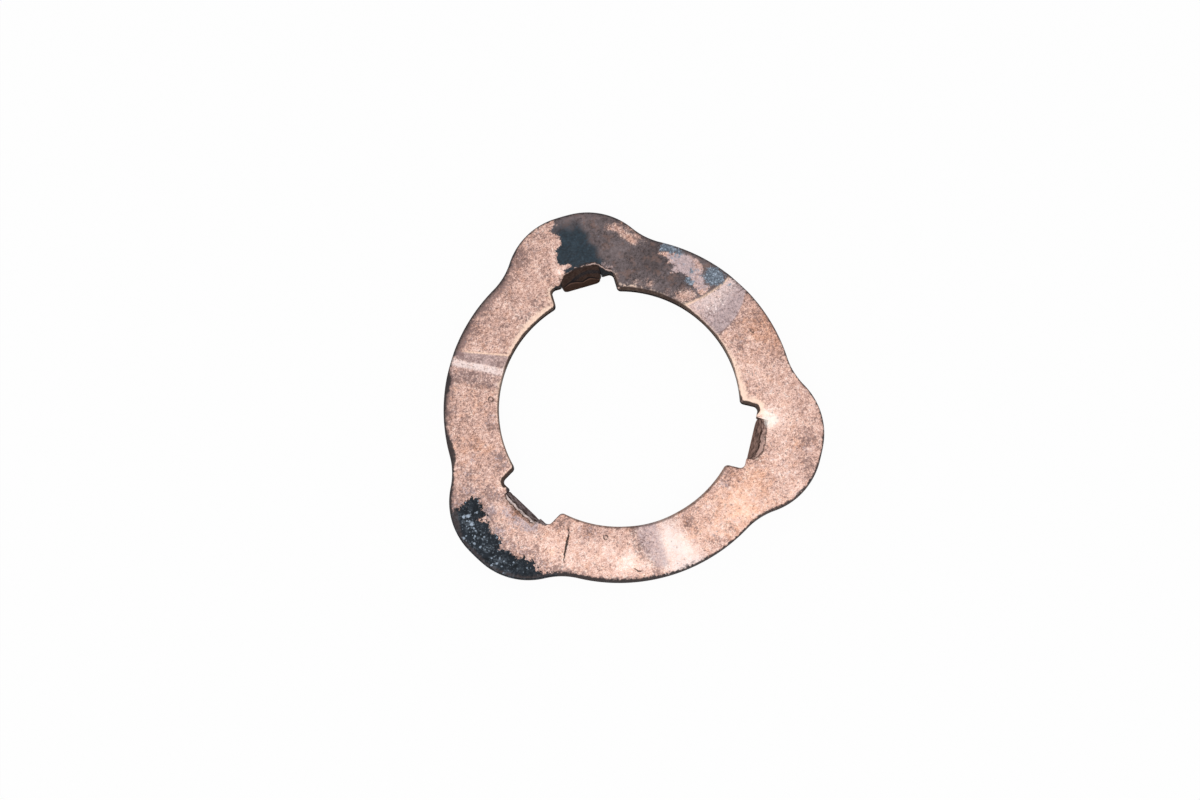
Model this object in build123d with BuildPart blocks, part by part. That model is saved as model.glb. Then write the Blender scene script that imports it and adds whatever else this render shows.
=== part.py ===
from build123d import *
from math import acos, degrees, hypot
import os

# Tri-lobed thrust washer: a flat bronze ring with three locating tabs bent down out of windows at
# its lobes, and three oil grooves pressed across the thrust face between them. It is one stamping.
# Origin on the bore axis at the plain seat face, +Z out of the grooved thrust face, first lobe on +Y.

# ------------------------------------------------------------------ driving dimensions, millimetres

# Strip and ring
sheet = 1.5
bore_r = 20.6
ring_width = 9.4
lobe_count = 3

# Lobe: a crest concentric with the bore, a convex shoulder each side, then a concave root
lobe_rise = 5.25
crest_angle = 5.0
shoulder_r = 12.0
root_r = 12.0

# Window let in from the bore; the notches at its corners free the tab's root for bending
window_width = 11.0
window_depth = 2.45
notch_r = 0.8
lip_r = 0.5

# Tab bent down out of the window
tab_width = 7.2
tab_tip_width = 6.4
tab_corner_r = 0.9
tab_setback = 2.6
tab_drop = 3.65
bend_r = 0.5

# Oil groove: a roller of this radius pressed in deeper at the bore than at the rim, so that the
# groove narrows outward
groove_roller_r = 17.0
groove_depth_bore = 0.45
groove_depth_rim = 0.2

# Rounding that blanking leaves on the thrust side's edges
die_roll_r = 0.3

# Cutting tools run past the metal by this much
overrun = 2.0

# ------------------------------------------------------------------ derived sizes

ring_r = bore_r + ring_width
crest_r = ring_r + lobe_rise
pitch = 360 / lobe_count
first_lobe = 90
first_groove = first_lobe + pitch / 2

notch_end = bore_r + window_depth
tab_face = bore_r + tab_setback
bend_outer_r = bend_r + sheet
bend_start = tab_face + bend_outer_r

# The shoulder and root arcs touch on the line between their centres. These three angles belong to
# the triangle of the bore axis and the two centres.
shoulder_centre_r = crest_r - shoulder_r
root_centre_r = ring_r + root_r
centre_gap = shoulder_r + root_r
blend_angle = degrees(
    acos(
        (root_centre_r**2 + shoulder_centre_r**2 - centre_gap**2)
        / (2 * root_centre_r * shoulder_centre_r)
    )
)
root_sweep = degrees(
    acos(
        (root_centre_r**2 + centre_gap**2 - shoulder_centre_r**2)
        / (2 * root_centre_r * centre_gap)
    )
)
shoulder_sweep = blend_angle + root_sweep
crest_half = crest_angle / 2
lobe_half = crest_half + blend_angle


def polar(radius, angle):
    """Point at a radius and an angle in degrees about the bore axis."""
    return Vector(radius, 0).rotate(Axis.Z, angle)


def lobe_outline(axis):
    """Arcs of one lobe and the ring edge after it, anticlockwise, for a lobe at the angle axis."""
    CenterArc(polar(root_centre_r, axis - lobe_half), root_r, axis - lobe_half + 180, -root_sweep)
    CenterArc(
        polar(shoulder_centre_r, axis - crest_half),
        shoulder_r,
        axis - crest_half - shoulder_sweep,
        shoulder_sweep,
    )
    CenterArc((0, 0), crest_r, axis - crest_half, crest_angle)
    CenterArc(polar(shoulder_centre_r, axis + crest_half), shoulder_r, axis + crest_half, shoulder_sweep)
    CenterArc(
        polar(root_centre_r, axis + lobe_half),
        root_r,
        axis + lobe_half + 180 + root_sweep,
        -root_sweep,
    )
    CenterArc((0, 0), ring_r, axis + lobe_half, pitch - 2 * lobe_half)


# ------------------------------------------------------------------ window, in a frame with +X outward

with BuildSketch() as window:
    with Locations((notch_end / 2, 0)):
        Rectangle(notch_end, window_width)
    fillet(window.vertices().group_by(Axis.X)[-1], notch_r)

# Metal that the bend draws down, from the notches out to where the sheet is still flat
with BuildSketch() as tab_throat:
    with Locations((bend_start / 2, 0)):
        Rectangle(bend_start, tab_width)

# ------------------------------------------------------------------ tab, in the same frame

with BuildPart() as tab:
    with BuildSketch(Plane.XZ):
        with BuildLine():
            outer_bend = CenterArc((bend_start, sheet - bend_outer_r), bend_outer_r, 90, 90)
            Polyline(
                outer_bend @ 1,
                (tab_face, -tab_drop),
                (tab_face + sheet, -tab_drop),
                (tab_face + sheet, -bend_r),
            )
            inner_bend = CenterArc((bend_start, -bend_r), bend_r, 180, -90)
            Line(inner_bend @ 1, outer_bend @ 0)
        make_face()
    extrude(amount=tab_width / 2, both=True)
    with BuildSketch(Plane.YZ.offset(tab_face)) as tab_front:
        with BuildLine():
            Polyline(
                (-tab_width / 2, sheet),
                (-tab_width / 2, -bend_r),
                (-tab_tip_width / 2, -tab_drop),
                (tab_tip_width / 2, -tab_drop),
                (tab_width / 2, -bend_r),
                (tab_width / 2, sheet),
                close=True,
            )
        make_face()
        fillet(tab_front.vertices().group_by(Axis.Y)[0], tab_corner_r)
    extrude(amount=bend_outer_r, mode=Mode.INTERSECT)

# ------------------------------------------------------------------ groove roller, in the same frame

roller_axis_bore = Vector(bore_r, 0, sheet - groove_depth_bore + groove_roller_r)
roller_axis_rim = Vector(ring_r, 0, sheet - groove_depth_rim + groove_roller_r)
roller_axis = (roller_axis_rim - roller_axis_bore).normalized()

with BuildPart() as groove_roller:
    with BuildSketch(Plane(origin=roller_axis_bore - roller_axis * overrun, z_dir=roller_axis)):
        Circle(groove_roller_r)
    extrude(amount=ring_width + 2 * overrun)

# ------------------------------------------------------------------ the washer


def middle_radius(edge):
    """Distance of an edge's middle from the bore axis."""
    middle = edge @ 0.5
    return hypot(middle.X, middle.Y)


with BuildPart() as thrust_washer:
    with BuildSketch() as blank:
        with BuildLine():
            for lobe in range(lobe_count):
                lobe_outline(first_lobe + lobe * pitch)
        make_face()
        Circle(bore_r, mode=Mode.SUBTRACT)
        with PolarLocations(0, lobe_count, start_angle=first_lobe):
            add(window.sketch, mode=Mode.SUBTRACT)
    extrude(amount=sheet)
    uprights = thrust_washer.edges().filter_by(Axis.Z)
    fillet(uprights.filter_by(lambda edge: abs(middle_radius(edge) - bore_r) < 0.001), lip_r)
    fillet(thrust_washer.faces().sort_by(Axis.Z)[-1].edges(), die_roll_r)

    with BuildSketch():
        with PolarLocations(0, lobe_count, start_angle=first_lobe):
            add(tab_throat.sketch)
    extrude(amount=sheet, mode=Mode.SUBTRACT)
    with PolarLocations(0, lobe_count, start_angle=first_lobe):
        add(tab.part)
    with PolarLocations(0, lobe_count, start_angle=first_groove):
        add(groove_roller.part, mode=Mode.SUBTRACT)

thrust_washer.part.label = "thrust_washer"
os.makedirs("parts", exist_ok=True)
export_step(thrust_washer.part, "parts/thrust_washer.step")
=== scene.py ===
import math
from functools import reduce

import bpy
import numpy as np
from bpy.props import FloatProperty, FloatVectorProperty, PointerProperty
from mathutils import Matrix, Vector


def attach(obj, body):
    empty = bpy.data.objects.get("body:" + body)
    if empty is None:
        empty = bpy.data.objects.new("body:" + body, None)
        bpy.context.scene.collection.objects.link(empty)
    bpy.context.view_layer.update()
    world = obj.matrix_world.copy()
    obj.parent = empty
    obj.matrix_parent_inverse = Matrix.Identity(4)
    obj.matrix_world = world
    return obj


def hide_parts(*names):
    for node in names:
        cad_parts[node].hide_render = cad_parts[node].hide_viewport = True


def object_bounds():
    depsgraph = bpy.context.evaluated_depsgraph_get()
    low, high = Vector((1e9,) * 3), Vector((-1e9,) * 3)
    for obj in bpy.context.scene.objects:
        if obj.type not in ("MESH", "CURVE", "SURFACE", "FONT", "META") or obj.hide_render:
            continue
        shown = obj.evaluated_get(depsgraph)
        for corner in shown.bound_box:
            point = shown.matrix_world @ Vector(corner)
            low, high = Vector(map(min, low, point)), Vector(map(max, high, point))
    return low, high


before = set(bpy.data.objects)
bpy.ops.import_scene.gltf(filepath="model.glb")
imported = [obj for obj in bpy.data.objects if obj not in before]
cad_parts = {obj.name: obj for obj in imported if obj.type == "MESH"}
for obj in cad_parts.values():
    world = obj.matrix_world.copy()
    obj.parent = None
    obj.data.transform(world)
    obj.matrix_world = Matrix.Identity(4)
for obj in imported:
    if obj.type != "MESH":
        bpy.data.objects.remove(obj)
CAD_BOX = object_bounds()

bl_info = {
    "name": "Lobed Thrust Washer",
    "version": (1, 0, 0),
    "blender": (4, 5, 0),
    "location": "3D View > Sidebar > Washer",
    "description": "A worn bronze thrust washer with three lobes, bent tabs and oil grooves",
    "category": "Mesh",
}

MM = 1000.0
LOBE_AXES = (90.0, 210.0, 330.0)
NODE = "thrust_washer"
# The surfaces of the stamping: thrust face, cut wall, seat face, wall of the bore, and bent tabs
FACE, OUTER_WALL, SEAT, INNER_WALL, TAB = range(5)
# Rounding of a throat beside a tab's root, and the edge roll's size where the root line starts
THROAT_CORNER = 0.22
ROOT_ROLL = 0.12
# Columns of a throat's corner and side, to each side of a tab's root
THROAT_COLUMNS = 19
# How many columns each way a rim's nearest piece is looked for, and the gap where there is none
NEAR_COLUMNS = 16
FAR = 1e3
# Gap to the rims that a tab's points are given
TAB_GAP = 3.0
# Distance past a tab's lines that points off the tabs are given
NO_TAB = -3.0
# Distance along a lobe's or groove's axis beyond which a point is on that side of the bore
SAME_SIDE = 15
# Where a groove begins, from the bore axis, and its length to the ring's edge
GROOVE_START, GROOVE_RUN = 20.6, 9.4


# ---------------------------------------------------------------- properties


def length(name, description, default):
    """A length property in metres."""
    return FloatProperty(name=name, description=description, default=default, unit="LENGTH", precision=5)


def tone(name, description, default):
    """A colour property in scene-linear values."""
    return FloatVectorProperty(
        name=name, description=description, default=default, subtype="COLOR", size=3, min=0.0, max=1.0
    )


class WasherSizes(bpy.types.PropertyGroup):
    """Sizes of the stamping."""

    strip: length("Strip", "Thickness of the bronze strip", 0.0015)
    bore: length("Bore radius", "Radius of the bore", 0.0206)
    ring: length("Ring radius", "Outer radius between the lobes", 0.030)
    rise: length("Lobe rise", "Height of a lobe's crest above the ring", 0.00525)
    shoulder: length("Shoulder radius", "Convex arc at each side of a crest", 0.012)
    root: length("Root radius", "Concave arc between a lobe and the ring", 0.012)
    crest: FloatProperty(
        name="Crest angle", description="Length of the crest arc", default=math.radians(5.0), subtype="ANGLE"
    )
    window: length("Window width", "Width of the window that holds a tab", 0.011)
    window_end: length("Window end", "Distance of the notches from the bore axis", 0.02305)
    notch: length("Notch radius", "Rounding of a notch's corner", 0.0008)
    lip: length("Lip radius", "Rounding between the bore and a window", 0.0008)
    tab: length("Tab width", "Width of a tab at its root", 0.0072)
    tab_tip: length("Tab tip width", "Width of a tab at its tip", 0.0064)
    tab_corner: length("Tab corner radius", "Rounding of a tab's lower corners", 0.0009)
    tab_face: length("Tab face", "Distance of a tab's face from the bore axis", 0.0232)
    tab_drop: length("Tab drop", "Reach of a tab below the seat face", 0.00365)
    bend: length("Bend radius", "Inner radius of the tab's bend", 0.0005)
    groove_bore: length("Groove depth at bore", "Depth of an oil groove at the bore", 0.00045)
    groove_rim: length("Groove depth at rim", "Depth of an oil groove at the rim", 0.0002)
    edge_roll: length("Edge roll", "Rounding that blanking leaves on the thrust side", 0.0003)


class WasherFinish(bpy.types.PropertyGroup):
    """Colours of the worn bronze and of what lies on it."""

    bronze: tone("Bronze", "Worn bronze of the thrust face", (0.58, 0.36, 0.30))
    # Bright and burnished bronze also carry the painted highlight where the rub level is raised
    bright: tone("Bright bronze", "Bronze where it is rubbed often", (0.84, 0.57, 0.48))
    burnished: tone("Burnished bronze", "Bronze rubbed almost white", (0.95, 0.85, 0.78))
    dull: tone("Dull film", "Brown-lilac film in the duller groove", (0.37, 0.275, 0.26))
    film: tone("Grain film", "Purple-brown film in the grain of the bronze", (0.17, 0.110, 0.105))
    lilac: tone("Groove film", "Smooth grey film in the oil grooves", (0.50, 0.405, 0.415))
    # Also paints the highlight in the groove beds, along the tabs' creases and in the glints
    shine: tone("Groove bed", "Rubbed bed of the oil grooves", (0.88, 0.75, 0.72))
    # Partly wear, partly a painted highlight along a groove's sharp crest
    crest: tone("Groove crest", "Bright crest at a groove's sharp side", (0.92, 0.66, 0.50))
    # Partly wear, partly a painted highlight on the bore's rounded edge
    rim: tone("Rubbed rim", "Rim at the bore, rubbed to pale metal", (0.90, 0.66, 0.53))
    tarnish: tone("Tarnish", "Grey-brown heat tarnish", (0.118, 0.096, 0.100))
    # Also paints the dark reflection on the outer edge's roll and the shadow above the tabs' humps
    soot_and_shade: tone("Edge film", "Near-black film at the edges and in cracks", (0.040, 0.034, 0.036))
    # Its darker shade also paints the shade beside the tabs' roots
    scale: tone("Black scale", "Blue-black scale on the second lobe", (0.016, 0.021, 0.028))
    char: tone("Heat black", "Blue-black in the middle of the heat tarnish", (0.018, 0.032, 0.044))
    frost: tone("Mineral specks", "Pale blue specks that sit in the scale", (0.36, 0.43, 0.52))
    bloom: tone("Mineral bloom", "Blue-grey bloom beyond the tarnish", (0.120, 0.150, 0.188))
    cut: tone("Cut edge", "Old cut edge of the strip", (0.022, 0.015, 0.013))
    # Its darker shade also paints the shade on the bore's roll
    tab: tone("Tab bronze", "Brown bronze of the bent tabs", (0.085, 0.048, 0.036))


def in_mm(sizes):
    """The length properties in millimetres, as a plain dictionary."""
    names = [n for n in WasherSizes.__annotations__ if n != "crest"]
    return {n: getattr(sizes, n) * MM for n in names}


# ---------------------------------------------------------------- outlines in a lobe's own frame
# u runs anticlockwise across the lobe, v runs outward along its axis, and both are in millimetres.


def rim_point(angle, size, crest):
    """Point of the outer rim at an angle from the lobe's axis.

    Its radius comes from four arcs in turn: the crest about the bore axis, the shoulder and the
    root, which are circles met by a ray from the bore axis, and the ring about the bore axis.
    """
    half_crest = crest / 2
    shoulder_at = size["ring"] + size["rise"] - size["shoulder"]
    root_at = size["ring"] + size["root"]
    gap = size["shoulder"] + size["root"]
    spread = math.acos((root_at**2 + shoulder_at**2 - gap**2) / (2 * root_at * shoulder_at))
    share = size["shoulder"] / gap
    touch = math.atan2(
        share * root_at * math.sin(spread),
        (1 - share) * shoulder_at + share * root_at * math.cos(spread),
    )
    turn = np.abs(angle)
    past = np.clip(turn - half_crest, 0, touch)
    short = np.clip(half_crest + spread - turn, 0, spread - touch)
    shoulder = shoulder_at * np.cos(past) + np.sqrt(
        size["shoulder"] ** 2 - (shoulder_at * np.sin(past)) ** 2
    )
    root = root_at * np.cos(short) - np.sqrt(size["root"] ** 2 - (root_at * np.sin(short)) ** 2)
    radius = np.select(
        [turn <= half_crest, turn <= half_crest + touch, turn <= half_crest + spread],
        [size["ring"] + size["rise"], shoulder, root],
        size["ring"],
    )
    return radius * np.sin(angle), radius * np.cos(angle)


def arc(centre, radius, start, end, outward, along):
    """Points and metal-side normals of an arc; outward is 1 where the metal lies outside it."""
    turn = np.radians(start + (end - start) * along)
    normal = np.stack([np.cos(turn), np.sin(turn)], 1) * outward
    return np.asarray(centre) + radius * outward * normal, normal


def straight(start, end, normal, along):
    """Points and metal-side normals of a straight run."""
    start, end = np.asarray(start, float), np.asarray(end, float)
    return start + (end - start) * along[:, None], np.tile(np.asarray(normal, float), (len(along), 1))


def bend_start(size):
    """Distance from the bore axis at which a tab begins to bend down."""
    return size["tab_face"] + size["bend"] + size["strip"]


def half_rim(size):
    """Inner rim of half a lobe, from midway between lobes to the middle of the tab's root.

    Seven runs in turn, bore arc, lip, window wall, notch, window end, throat corner and throat side,
    then the tab's root line. Each run has its first and last station, which are angles on the outer
    rim, its count of points, its shape, and the edge roll's size at both ends. Returns stations,
    points, normals and roll sizes as columns, and where the root line starts.
    """
    half_window, half_tab = size["window"] / 2, size["tab"] / 2
    corner, end, lip, notch = THROAT_CORNER, size["window_end"], size["lip"], size["notch"]
    lip_u = half_window + lip
    lip_v = math.sqrt((size["bore"] + lip) ** 2 - lip_u**2)
    lip_angle = math.degrees(math.atan2(lip_u, lip_v))
    notch_u, notch_v = half_window - notch, end - notch
    root_v = bend_start(size)
    runs = (
        (60.0, 20.0, 104, arc, ((0, 0), size["bore"], 30.0, 90.0 - lip_angle, 1), 1.0, 1.0),
        (20.0, 18.6, 9, arc, ((lip_u, lip_v), lip, 270.0 - lip_angle, 180.0, -1), 1.0, 1.0),
        (18.6, 15.2, 12, straight, ((half_window, lip_v), (half_window, notch_v), (1, 0)), 1.0, 1.0),
        (15.2, 13.2, 12, arc, ((notch_u, notch_v), notch, 0.0, 90.0, 1), 1.0, 1.0),
        (13.2, 12.1, 6, straight, ((notch_u, end), (half_tab + corner, end), (0, 1)), 1.0, 0.8),
        (12.1, 11.3, 7, arc, ((half_tab + corner, end + corner), corner, 270.0, 180.0, -1), 0.8, 0.6),
        (11.3, 9.5, 12, straight, ((half_tab, end + corner), (half_tab, root_v), (1, 0)), 0.6, ROOT_ROLL),
    )
    parts = []
    for first, last, count, shape, given, roll_first, roll_last in runs:
        along = np.arange(count) / count
        place, normal = shape(*given, along)
        roll = roll_first + (roll_last - roll_first) * along
        parts.append((first + (last - first) * along, place, normal, roll))
    root_start = sum(len(part[0]) for part in parts)
    along = np.linspace(0, 1, 19)
    across = half_tab * (0.5 * (1 - along) + 0.5 * np.cos(np.pi / 2 * along))
    across[-1] = 0.0
    root = np.stack([across, np.full_like(across, root_v)], 1)
    normal = np.tile((0.0, 1.0), (len(along), 1))
    normal[0] = (1.0, 0.0)
    parts.append((runs[-1][1] * (1 - along), root, normal, np.where(along == 0, ROOT_ROLL, 0.0)))
    return (*(np.concatenate(column) for column in zip(*parts)), root_start)


def full_rim(size, crest):
    """Inner and outer rim of the whole washer as columns, anticlockwise, and each lobe's root columns."""
    station, point, normal, roll, root_start = half_rim(size)

    def whole(values, flip):
        """A lobe from -60 to +60 degrees: the half mirrored, then the half itself backwards."""
        return np.concatenate([values[:-1] * flip, values[::-1][:-1]])

    turn = np.radians(whole(station, -1.0))
    outer = np.stack(rim_point(turn, size, crest), 1)
    ahead, behind = (np.stack(rim_point(turn + step, size, crest), 1) for step in (1e-4, -1e-4))
    run = ahead - behind
    outer_normal = np.stack([run[:, 1], -run[:, 0]], 1)
    outer_normal *= -np.sign(np.sum(outer_normal * outer, 1))[:, None]
    outer_normal /= np.linalg.norm(outer_normal, axis=1)[:, None]
    mirror = np.array([-1.0, 1.0])
    lobe = {"inner": whole(point, mirror), "inner_normal": whole(normal, mirror)}
    lobe.update(outer=outer, outer_normal=outer_normal)
    rim = {key: np.concatenate([to_world(uv, axis) for axis in LOBE_AXES]) for key, uv in lobe.items()}
    rim["roll"] = np.tile(whole(roll, 1.0), len(LOBE_AXES))
    starts = np.arange(len(LOBE_AXES)) * len(turn)
    return rim, [(start + root_start, start + len(turn) - root_start) for start in starts]


def to_world(uv, axis):
    """Turns lobe coordinates (u anticlockwise, v outward) into part coordinates."""
    a = math.radians(axis)
    u, v = uv[..., 0], uv[..., 1]
    return np.stack([v * math.cos(a) - u * math.sin(a), v * math.sin(a) + u * math.cos(a)], -1)


def to_lobe(xy, axis):
    """Turns part coordinates into lobe coordinates (u anticlockwise, v outward)."""
    a = math.radians(axis)
    x, y = xy[..., 0], xy[..., 1]
    return np.stack([-x * math.sin(a) + y * math.cos(a), x * math.cos(a) + y * math.sin(a)], -1)


# ---------------------------------------------------------------- shape of the surfaces


def waves(xy, wavelength, seed, count=14):
    """Smooth unevenness between -1 and 1: the mean of plane sine waves in random directions."""
    rng = np.random.default_rng(seed)
    heading = rng.uniform(0, 2 * np.pi, count)
    number = 2 * np.pi / (wavelength * rng.uniform(0.7, 1.5, count))
    phase = rng.uniform(0, 2 * np.pi, count)
    total = np.zeros(xy.shape[:-1])
    for h, n, p in zip(heading, number, phase):
        total += np.sin(n * (xy[..., 0] * np.cos(h) + xy[..., 1] * np.sin(h)) + p)
    return total / math.sqrt(count)


def smooth(value):
    """0 below 0, 1 above 1, and an S curve between."""
    t = np.clip(value, 0, 1)
    return t * t * (3 - 2 * t)


def bell(value, width):
    """1 at 0, falling to both sides as a bell curve."""
    return np.exp(-((value / width) ** 2))


def spot(xy, x, y, radius):
    """1 in the middle of a soft round spot, falling to 0 round it."""
    return np.exp(-(((xy[..., 0] - x) ** 2 + (xy[..., 1] - y) ** 2) / radius**2))


def line_gap(xy, line):
    """Distance from each point to an open line of a few points."""
    line = np.asarray(line, float)
    gap = np.full(xy.shape[:-1], FAR)
    for a, b in zip(line[:-1], line[1:]):
        run = b - a
        share = np.clip(((xy - a) @ run) / (run @ run), 0, 1)
        gap = np.minimum(gap, np.linalg.norm(xy - (a + share[..., None] * run), axis=-1))
    return gap


def area_gap(xy, outline):
    """Signed distance to a closed outline of a few points, positive inside (winding by crossings)."""
    outline = np.asarray(outline, float)
    inside = np.zeros(xy.shape[:-1], bool)
    for a, b in zip(outline, np.roll(outline, -1, 0)):
        spans = (a[1] > xy[..., 1]) != (b[1] > xy[..., 1])
        rise = np.where(b[1] == a[1], 1e-9, b[1] - a[1])
        inside ^= spans & (xy[..., 0] < (b[0] - a[0]) * (xy[..., 1] - a[1]) / rise + a[0])
    gap = line_gap(xy, np.concatenate([outline, outline[:1]]))
    return np.where(inside, gap, -gap)


# Each groove: its axis, then the clockwise offset of its left edge, bed and right edge, each at the
# bore and at the rim, and how softly its left and right sides fade (1 is a plain sharp crest).
GROOVES = (
    (150.0, (-3.0, -2.5), (0.9, 0.9), (4.2, 2.8), 1.5, 1.0),
    (270.0, (-4.3, -2.8), (-0.2, -0.4), (4.8, 2.3), 1.3, 1.15),
    (30.0, (-4.1, -1.8), (-0.3, -0.2), (4.1, 2.4), 1.0, 1.15),
)


def groove_frame(xy, axis):
    """Clockwise offset from a groove's axis, distance along it, and 0 to 1 from bore to rim."""
    a = math.radians(axis)
    offset = xy[..., 0] * math.sin(a) - xy[..., 1] * math.cos(a)
    reach = xy[..., 0] * math.cos(a) + xy[..., 1] * math.sin(a)
    return offset, reach, np.clip((reach - GROOVE_START) / GROOVE_RUN, 0, 1)


def groove_depth(xy, size):
    """Depth of the oil grooves: a parabola each side of the bed, deeper at the bore than the rim."""
    depth = np.zeros(xy.shape[:-1])
    for axis, left, bed, right, soft_left, soft_right in GROOVES:
        offset, reach, share = groove_frame(xy, axis)
        ends = (left, bed, right, (size["groove_bore"], size["groove_rim"]))
        low, mid, high, deep = (bore + (rim - bore) * share for bore, rim in ends)
        across = np.where(offset < mid, (mid - offset) / (mid - low), (offset - mid) / (high - mid))
        power = np.where(offset < mid, soft_left, soft_right)
        cut = deep * np.clip(1 - across**2, 0, 1) ** power
        depth = np.maximum(depth, np.where(reach > SAME_SIDE, cut, 0))
    return depth


CRACK = ((-14.1, -17.2), (-14.2, -18.4), (-14.9, -19.6), (-15.6, -21.1), (-16.1, -22.1), (-16.4, -22.8))
SCRATCH = ((-5.4, -27.3), (-4.9, -27.9), (-4.3, -28.0))
# How open the crack is by y, and the scratch by x
CRACK_OPEN = ((-23.3, -22.8, -22.0, -21.2, -19.2, -18.4, -17.4, -16.9), (0, 0.45, 0.7, 1, 1, 0.6, 0.6, 0))
SCRATCH_OPEN = ((-5.6, -5.3, -4.5, -4.2), (0, 0.7, 0.7, 0))
# Ring-shaped pits and shallow round dents: x, y and radius
RING_PITS = ((-20.7, 7.4, 0.42), (-8.5, -20.9, 0.36), (25.6, 6.2, 0.3))
DENTS = ((-14.0, 22.5, 1.3), (24.6, -2.6, 1.5), (-26.2, -3.0, 1.2), (28.2, -16.8, 1.6), (12.2, -24.6, 1.1))


def crack_marks(xy):
    """Signed distance across the crack and the scratch, and how open they are along their length."""
    x, y = xy[..., 0], xy[..., 1]
    down, across = zip(*sorted((b, a) for a, b in CRACK))
    near = np.hypot(x + 4.9, y + 27.7) < 2.0  # the scratch's own part of the face
    off = np.where(near, y - np.interp(x, *zip(*SCRATCH)), x - np.interp(y, down, across))
    return off, np.where(near, np.interp(x, *SCRATCH_OPEN), np.interp(y, *CRACK_OPEN) * (x < -8))


def pit_gaps(xy):
    """Signed distance to the rim of each ring pit, positive outside it."""
    return [np.hypot(xy[..., 0] - x, xy[..., 1] - y) - r for x, y, r in RING_PITS]


def top_drop(xy, size):
    """How far the thrust face lies below its plane: grooves, slight waviness, dents and old marks."""
    drop = groove_depth(xy, size)
    drop += 0.009 * np.maximum(1 + waves(xy, 9.0, 3), 0) + 0.003 * np.maximum(1 + waves(xy, 2.2, 5), 0)
    for dent in DENTS:
        drop += 0.02 * spot(xy, *dent)
    for gap in pit_gaps(xy):
        drop += 0.03 * bell(gap, 0.14)
    drop += 0.09 * bell(line_gap(xy, CRACK), 0.13)
    drop += 0.03 * bell(line_gap(xy, SCRATCH), 0.12)
    # Metal that the bend drew down beside and beyond each tab's root
    for axis in LOBE_AXES:
        uv = to_lobe(xy, axis)
        past = uv[..., 1] - bend_start(size)
        beside = smooth(1.9 - np.abs(uv[..., 0]) / (size["tab"] / 2))
        drawn = np.clip(1 - past / 1.5, 0, 1.4) ** 2
        drop += 0.07 * beside * np.where(uv[..., 1] > bend_start(size) - 2.2, drawn, 0)
    return drop


def section_rows(strip):
    """The closed section of the ring as rows, from the top of the inner wall outward over the face.

    Each row holds: 0 at the inner rim to 1 at the outer rim; the share of the edge roll taken
    sideways at each rim; how far the row lies inside the rims; the height; the share of the roll
    taken down; and which surface it is on. The rows run over the inner roll, the face, the outer
    roll, the outer wall, the seat face and back up the inner wall. Also returns the rows between
    which a tab joins.
    """
    burr = 0.04
    quarter = np.radians((0.0, 22.5, 45.0, 67.5))
    rows = [(0.0, 1 - math.cos(q), 0.0, 0.0, strip, 1 - math.sin(q), FACE) for q in quarter]
    first_root = len(rows)
    count = 37
    share = np.arange(count + 1) / count
    share = share - 0.055 * np.sin(2 * np.pi * share)
    rows += [(s, 1.0, 1.0, 0.0, strip, 0.0, FACE) for s in share]
    rows += [(1.0, 0.0, 1 - math.cos(q), 0.0, strip, 1 - math.sin(q), FACE) for q in quarter[::-1]]
    wall = np.linspace(0, 1, 8)[1:-1]
    torn = 0.02 * smooth((wall - 0.35) / 0.25)
    down = [(inset, strip * (1 - sunk), 1 - sunk) for sunk, inset in zip(wall, torn)]
    rows += [(1.0, 0.0, 0.0, *row, OUTER_WALL) for row in down]
    rows += [(1.0, 0.0, 0.0, 0.02, burr, 0.0, OUTER_WALL), (1.0, 0.0, 0.0, 0.03, burr * 0.3, 0.0, SEAT)]
    rows += [(s, 0.0, 0.0, 0.03 + burr, 0.0, 0.0, SEAT) for s in np.linspace(1, 0, 12)]
    last_root = len(rows) - 1
    rows += [(0.0, 0.0, 0.0, 0.03, burr * 0.3, 0.0, SEAT), (0.0, 0.0, 0.0, 0.02, burr, 0.0, INNER_WALL)]
    rows += [(0.0, 0.0, 0.0, *row, INNER_WALL) for row in down[::-1]]
    return np.array(rows), first_root, last_root


def ring_points(rim, rows, size):
    """Every point of the ring: straight lines from inner rim to outer rim, lowered by the marks."""
    reach, roll_in, roll_out, inset, height, roll_down, kind = rows.T
    full = rim["roll"][:, None]
    roll = full * size["edge_roll"]
    inner_off = roll_in * roll + inset * full
    outer_off = roll_out * size["edge_roll"] + inset
    near = rim["inner"][:, None] + rim["inner_normal"][:, None] * inner_off[..., None]
    far = rim["outer"][:, None] + rim["outer_normal"][:, None] * outer_off[..., None]
    xy = near * (1 - reach)[:, None] + far * reach[:, None]
    z = height - roll_down * np.where(reach < 0.5, roll, size["edge_roll"])
    kinds = np.broadcast_to(kind, xy.shape[:2])
    on_wall = np.where((kinds == OUTER_WALL) | (kinds == INNER_WALL), z / size["strip"], 0.0)
    z = z - top_drop(xy, size) * np.where(kinds == FACE, 1.0, on_wall)
    seat = (kinds == SEAT) & (inset > 0.05)
    z = z + seat * 0.006 * np.maximum(1 + waves(xy, 7.0, 11), 0)
    return np.concatenate([xy, z[..., None]], -1), kinds


# Two low humps pressed across each tab's bend, and the fold above them: middle across the tab, how far
# past the bend's start the line is there, and how fast it falls away to both sides
HUMPS = ((1.5, 2.2, 0.3), (-1.4, 2.3, 0.5))
FOLD = (-1.2, 0.9, 0.13)


def bowed(u, middle, top, bow):
    """How far past the bend's start a bowed line lies, at places across a tab."""
    return top + bow * (u - middle) ** 2


def hump_line(u):
    """How far past the bend's start the humps' crest lies, at places across a tab."""
    return np.minimum.reduce([bowed(u, *hump) for hump in HUMPS])


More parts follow.
